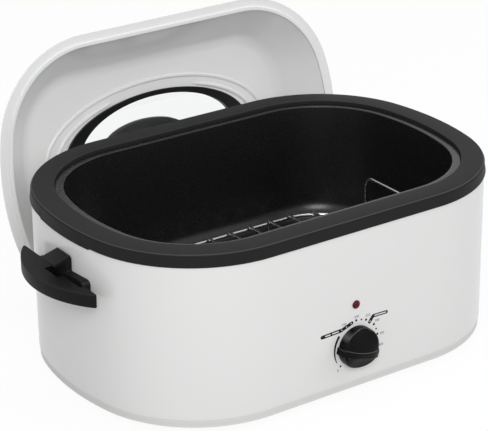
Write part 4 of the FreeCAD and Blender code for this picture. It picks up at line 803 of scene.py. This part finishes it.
def handle_mesh(side):
    """Crescent shelf on a plate that backs onto the wall, with a hood over its middle."""
    middle = HANDLE_REACH - HANDLE_BOW
    swing = math.degrees(math.asin(HANDLE_TIP_Y / HANDLE_BOW))
    tip = middle + HANDLE_BOW * math.cos(math.radians(swing))
    wing = mirrored_outline([(SHELF_BACK, HANDLE_TIP_Y, 1.7), (tip, HANDLE_TIP_Y, 1.7)]
                            + arc((middle, 0.0), HANDLE_BOW, swing, 0.0, 28)[1:])
    shelf = moved(slab([rounded(wing)], SHELF_THICK, 1.4, 4),
                  lambda x, y, z: (x, y, z + SHELF_MIDDLE))
    back = PLATE_FACE - 0.6
    slot = [(back, 53.0), (273.0, 53.0, 1.0), (273.0, 15.5), (280.5, 15.5, 1.0),
            (280.5, -12.5, 1.0), (back, -12.5)]
    well = moved(slab([rounded(slot)], SLOT_CUT, 0.0, 0),
                 lambda x, y, z: (x, y, z + SLOT_FLOOR + SLOT_CUT / 2))
    low = SHELF_MIDDLE - SHELF_THICK / 2 + 0.5
    near, far = HOOD_OFFSET + TAB_HALF, HOOD_OFFSET - TAB_HALF
    corners = [(-PLATE_Y, low), (-PLATE_Y, PLATE_LOW_TOP, 1.0), (far, PLATE_LOW_TOP),
               (far, TAB_TOP, 1.0), (near, TAB_TOP, 1.0), (near, PLATE_TOP, 1.5),
               (PLATE_Y, PLATE_TOP, 6.0), (PLATE_Y, low)]
    corners += [(y, low) for y in range(40, -41, -20)]
    plate = moved(slab([rounded(corners)], PLATE_SLAB, 0.3), on_wall)
    hood = moved(slab([rounded([(264.6, 175.2, 0.7), (284.5, 169.6, 0.9), (284.5, 165.4, 0.9),
                                (264.6, 169.6)])], HOOD_WIDTH, 0.6),
                 lambda x, z, y: (x, y + HOOD_OFFSET, z))
    mesh = fused(shelf, ("DIFFERENCE", well), ("UNION", plate), ("UNION", hood))
    return moved(mesh, lambda x, y, z: (side * x, side * y, z))


def side_handles():
    """The left handle and the same one turned half round."""
    for side, name in ((-1, "handle_left"), (1, "handle_right")):
        handle = dress(name + "_moulding", handle_mesh(side), handle_plastic, "base", 35.0)
        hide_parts(name)


# ---------------------------------------------------------------- front wall

def bar_edges(u):
    """Lower and upper edge of the knob's bar, which flares from its waist to its ends."""
    half = BAR_WAIST + BAR_FLARE * min(1.0, abs(u) / BAR_FLARE_AT) ** 1.6
    return BAR_SHIFT - half - BAR_UNDER, BAR_SHIFT + half


def knob_top(u, v):
    """Height of the knob's face: two slopes that meet in a waisted, arched bar."""
    dish = KNOB_LIP - KNOB_DISH * (1 - (u * u + v * v) / KNOB_RADIUS ** 2)
    out = min(1.0, abs(u) / BAR_REACH)
    crest = CREST_END + CREST_RISE * (1 - out ** 2.3) ** 0.8
    low, high = bar_edges(u)
    if v > high:
        slope = max(0.0, 1 - (v - high) / UPPER_SLOPE) ** 0.68
        return dish + (crest - dish) * slope - min(v - high, BAR_BEVEL) * slope
    if v < low:
        return dish + (crest - dish) * max(0.0, 1 - (low - v) / LOWER_SLOPE) ** 0.95
    return crest - BAR_FALL * ((high - v) / (high - low)) ** 2


def nub_at(u):
    """Middle and half width of the bar's nub on the side of u; the right one is deeper."""
    deeper = NUB_DEEPER if u > 0 else 0.0
    return BAR_SHIFT - deeper, NUB_HALF + deeper


def past_corner(u):
    """How far u is past the point where the nub's corners begin to round."""
    return abs(u - NUB_OFFSET) - BAR_REACH + NUB_CORNER


def knob_span(u):
    """From where to where the knob reaches across at a distance along its bar."""
    middle, half = nub_at(u)
    over = max(0.0, past_corner(u))
    reach = half - NUB_CORNER + math.sqrt(max(0.0, NUB_CORNER ** 2 - over ** 2))
    if abs(u) >= KNOB_RADIUS:
        return middle - reach, middle + reach
    disc = math.sqrt(KNOB_RADIUS ** 2 - u * u)
    return min(-disc, middle - reach), max(disc, middle + reach)


def knob_depth(u, v):
    """How far inside the knob's outline a point lies."""
    middle, half = nub_at(u)
    along = past_corner(u)
    across = abs(v - middle) - half + NUB_CORNER
    out = math.hypot(max(along, 0.0), max(across, 0.0)) + min(max(along, across), 0.0)
    return max(KNOB_RADIUS - math.hypot(u, v), NUB_CORNER - out, 0.0)


def knob_section(u):
    """Ring round the knob's section at u: its flat back, then its face with a rolled edge."""
    first, last = knob_span(u)
    low, high = [max(first * 0.98 + last * 0.02, min(last * 0.98 + first * 0.02, edge))
                 for edge in bar_edges(u)]
    bevel = min(high + BAR_BEVEL, last * 0.9 + high * 0.1)
    across = [first + (low - first) * share for share in KNOB_STATIONS]
    across += [low + (high - low) * share for share in (0.0, 0.35, 0.7, 1.0)]
    across += [last + (bevel - last) * share for share in (1.0,) + KNOB_STATIONS[::-1]]
    face = []
    for v in across:
        short = max(0.0, KNOB_EDGE - knob_depth(u, v))
        drop = KNOB_EDGE - math.sqrt(KNOB_EDGE ** 2 - short ** 2)
        face.append((v, knob_top(u, v) - drop))
    return [Vector((u, v, w)) for v, w in [(v, 0.0) for v in reversed(across)] + face]


def knob_mesh():
    """Round knob whose bar runs out into a rounded nub at each side."""
    disc = [math.sin(math.radians(a)) * KNOB_RADIUS for a in range(0, 79, 6)]
    ends = [BAR_REACH - short for short in (2.4, 2.0, 1.6, 1.1, 0.7, 0.35, 0.1, 0.01)]
    stops = {round(side * u, 3) for u in disc for side in (-1, 1)}
    stops |= {round(side * u + NUB_OFFSET, 3) for u in ends for side in (-1, 1)}
    radius, depth = SHAFT_WELL
    well = closed_mesh("shaft well", turned([(radius, -1.0), (radius, depth)]))
    mesh = fused(closed_mesh("knob", [knob_section(u) for u in sorted(stops)]),
                 ("DIFFERENCE", well))
    turn = math.radians(KNOB_TURN)
    place = Matrix(((math.cos(turn), math.sin(turn), 0.0), (0.0, 0.0, -1.0),
                    (-math.sin(turn), math.cos(turn), 0.0))).to_4x4()
    place.translation = Vector((0.0, -KNOB_BACK, KNOB_Z))
    return moved(mesh, lambda x, y, z: place @ Vector((x, y, z)))


def front_fittings():
    """The knob and the pilot lamp's lens."""
    knob = dress("dial_knob", knob_mesh(), knob_plastic, "knob", 38.0)
    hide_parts("control_knob")
    place = Matrix.Translation(Vector((0.0, WALL_Y, LAMP_Z))) @ Matrix.Rotation(
        math.radians(90), 4, "X")
    lens = skin("pilot_lens", turned([
        (5.0, 0.0), (5.0, 0.6), (4.8, 0.95), (4.3, 1.05), (4.15, 1.2), (3.9, 1.7), (3.3, 2.2),
        (2.4, 2.55), (1.2, 2.75), (0.3, 2.8)], 48),
        lamp_plastic, "base", closed=False, cap=True, place=place)
    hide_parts("lamp_lens")


def print_piece(name, outlines, material, layer=0):
    """A thin printed shape on the front wall; outlines are in x and z."""
    front = WALL_Y - PRINT_LIFT - PRINT_THICK * layer
    mesh = moved(slab(outlines, PRINT_THICK, 0.0, 0),
                 lambda x, z, y: (x + PRINT_SHIFT[0], front + y, z + PRINT_SHIFT[1]))
    piece = dress(name, mesh, material, "base")


def print_number(text, x, z):
    """A number of the dial, its middle at x and z on the front wall."""
    data = bpy.data.curves.new("number", "FONT")
    data.body = text
    data.size = NUMBER_SIZE * MM
    data.align_x = "CENTER"
    data.align_y = "CENTER"
    data.extrude = PRINT_THICK / 2 * MM
    mesh = moved(baked(placed("number", data)),
                 lambda a, b, c: (x + a + PRINT_SHIFT[0], WALL_Y - PRINT_LIFT + c,
                                  z + b + PRINT_SHIFT[1]))
    mark = dress("dial_number_" + text, mesh, print_grey, "base")


def on_dial(radius, turn):
    """A point (x, z) of the front wall at a radius and a turn round the knob's axis."""
    return radius * math.cos(turn), KNOB_Z + radius * math.sin(turn)


def dial_marks():
    """The dots, the warm sweep, the two blank tags and the numbers round the knob."""
    dots = [(-0.7, 86.6, 1.5), (6.4, 85.7, 1.1), (13.0, 83.5, 1.5), (24.1, 74.7, 1.5),
            (27.4, 68.1, 1.1), (29.4, 61.1, 1.5), (-21.8, 35.8, 1.3)]
    print_piece("dial_dots", [arc((x, z), r, 0, 337.5, 15) for x, z, r in dots], print_black)
    sweep = [(math.radians(142.0 + 66.0 * i / 20), 1.3 * (1 - i / 20) ** 0.6 + 0.25)
             for i in range(21)]
    outer = [on_dial(SWEEP_RADIUS + half, turn) for turn, half in sweep]
    inner = [on_dial(SWEEP_RADIUS - half, turn) for turn, half in reversed(sweep)]
    print_piece("dial_warm_sweep", [outer + inner], print_black)
    tail, bend, nose = (-47.4, 79.0), (-21.1, 80.0), (-6.9, 85.1)
    print_piece("dial_tag_left", [capsule(tail, bend, 4.6)], print_black)
    print_piece("dial_tag_left_lead", [capsule(bend, nose, 4.2)], print_black, 1)
    panels = [((-43.0, 79.2), (-36.6, 79.4)), ((-33.2, 79.6), (-25.4, 79.8)),
              ((-20.7, 80.2), (-20.5, 80.3)), ((-14.4, 82.2), (-14.2, 82.3)),
              ((-7.8, 84.8), (-7.6, 84.9))]
    print_piece("dial_tag_left_panel", [capsule(start, stop, 1.3) for start, stop in panels],
                print_light, 2)
    near, knee, far = (18.0, 79.4), (22.9, 85.4), (41.5, 85.0)
    print_piece("dial_tag_right", [capsule(knee, far, 4.2)], print_black)
    print_piece("dial_tag_right_lead", [capsule(near, knee, 4.3)], print_black, 1)
    print_piece("dial_tag_right_panel", [capsule((25.4, 85.4), (40.6, 85.1), 1.25),
                                         capsule((18.4, 80.0), (18.6, 80.2), 1.3)],
                print_light, 2)
    for text, x, z in [("0", -25.6, 31.2), ("150", -17.6, 86.2), ("200", -0.2, 90.9),
                       ("250", 15.4, 88.4), ("300", 28.6, 78.4), ("350", 35.6, 60.4),
                       ("400", 34.6, 46.2)]:
        print_number(text, x, z)


body_shell()
rim_collar()
pan_bowl()
lid_dome()
lid_ridges()
lid_window()
lid_grip()
side_handles()
front_fittings()
dial_marks()


# ---------------------------------------------------------------- studio, in metres

ROOM_LIGHT = 0.48
FLOOR_REACH = 6.0
FLOOR_TONE = 0.42
FLOOR_TONE_SEEN = 0.5
FLOOR_GLOW = 0.93
LAMP_AIM = Vector((0, 0, 0.1))
CAMERA_AT = (-1.243548, -1.796599, 1.104939)
CAMERA_YAW, CAMERA_PITCH, CAMERA_ROLL = 0.5966, 0.4129, -0.0124
CAMERA_SENSOR = 36.0
CAMERA_LENS = 2052.67 / 488 * CAMERA_SENSOR


def seen_directly(nodes, links):
    """Share that is 1 for what the camera, gloss and glass look at."""
    path = nodes.new("ShaderNodeLightPath")
    first = maths(nodes, links, "MAXIMUM", path.outputs["Is Camera Ray"],
                  path.outputs["Is Glossy Ray"])
    return maths(nodes, links, "MAXIMUM", first, path.outputs["Is Transmission Ray"])


def mixed(nodes, links, share, first, second, leave):
    """Join two shaders by a share and give them to an output's surface."""
    mix = nodes.new("ShaderNodeMixShader")
    links.new(share, mix.inputs["Fac"])
    links.new(first.outputs[0], mix.inputs[1])
    links.new(second.outputs[0], mix.inputs[2])
    links.new(mix.outputs[0], nodes[leave].inputs["Surface"])


def make_world():
    """A soft room light that looks white where it is seen."""
    world = bpy.data.worlds.new("studio")
    bpy.context.scene.world = world
    world.use_nodes = True
    nodes, links = world.node_tree.nodes, world.node_tree.links
    room = nodes["Background"]
    room.inputs["Color"].default_value = (0.96, 0.98, 1.0, 1.0)
    room.inputs["Strength"].default_value = ROOM_LIGHT
    seen = nodes.new("ShaderNodeBackground")
    seen.inputs["Color"].default_value = (1.0, 1.0, 1.0, 1.0)
    seen.inputs["Strength"].default_value = 1.0
    mixed(nodes, links, seen_directly(nodes, links), room, seen, "World Output")


def make_floor():
    """A wide floor, nearly white where it is seen and greyer in the light it sends up."""
    material = bpy.data.materials.new("pale floor")
    material.use_nodes = True
    nodes, links = material.node_tree.nodes, material.node_tree.links
    shader = nodes["Principled BSDF"]
    shader.inputs["Roughness"].default_value = 0.9
    seen = seen_directly(nodes, links)
    tone = nodes.new("ShaderNodeCombineColor")
    level = maths(nodes, links, "MULTIPLY_ADD", seen, FLOOR_TONE_SEEN, FLOOR_TONE)
    for channel in range(3):
        links.new(level, tone.inputs[channel])
    links.new(tone.outputs[0], shader.inputs["Base Color"])
    glow = nodes.new("ShaderNodeEmission")
    glow.inputs["Strength"].default_value = 1.0
    share = maths(nodes, links, "MULTIPLY", seen, FLOOR_GLOW)
    mixed(nodes, links, share, shader, glow, "Material Output")
    mesh = bpy.data.meshes.new("floor")
    corners = [(-1, -1), (1, -1), (1, 1), (-1, 1)]
    mesh.from_pydata([(x * FLOOR_REACH, y * FLOOR_REACH, FLOOR * MM) for x, y in corners], [],
                     [(0, 1, 2, 3)])
    mesh.materials.append(material)
    floor = placed("floor", mesh)


def make_camera():
    """The camera, from its place, its turns and the length of its lens."""
    ahead = Vector((math.sin(CAMERA_YAW) * math.cos(CAMERA_PITCH),
                    math.cos(CAMERA_YAW) * math.cos(CAMERA_PITCH), -math.sin(CAMERA_PITCH)))
    right = Vector((math.cos(CAMERA_YAW), -math.sin(CAMERA_YAW), 0.0))
    up = right.cross(ahead)
    rolled_right = right * math.cos(CAMERA_ROLL) + up * math.sin(CAMERA_ROLL)
    rolled_up = up * math.cos(CAMERA_ROLL) - right * math.sin(CAMERA_ROLL)
    data = bpy.data.cameras.new("camera")
    data.sensor_fit = "HORIZONTAL"
    data.sensor_width = CAMERA_SENSOR
    data.lens = CAMERA_LENS
    data.clip_start = 0.1
    data.clip_end = 30.0
    camera = placed("camera", data)
    place = Matrix((rolled_right, rolled_up, -ahead)).transposed().to_4x4()
    place.translation = Vector(CAMERA_AT)
    camera.matrix_world = place
    bpy.context.scene.camera = camera


def add_softbox(name, place, width, height, power):
    """A rectangular lamp that looks at the middle of the body."""
    data = bpy.data.lights.new(name, "AREA")
    data.shape = "RECTANGLE"
    data.size = width
    data.size_y = height
    data.energy = power
    lamp = placed(name, data)
    lamp.location = place
    lamp.rotation_euler = (LAMP_AIM - Vector(place)).to_track_quat("-Z", "Y").to_euler()


make_world()
make_floor()
make_camera()
add_softbox("softbox_left", (-1.25, -2.1, 1.65), 1.1, 1.2, 44)
add_softbox("softbox_right", (2.1, -1.0, 1.2), 1.2, 1.4, 12)
add_softbox("softbox_top", (0.1, 0.3, 2.4), 1.8, 1.4, 14)

bpy.context.scene.view_settings.view_transform = "Standard"
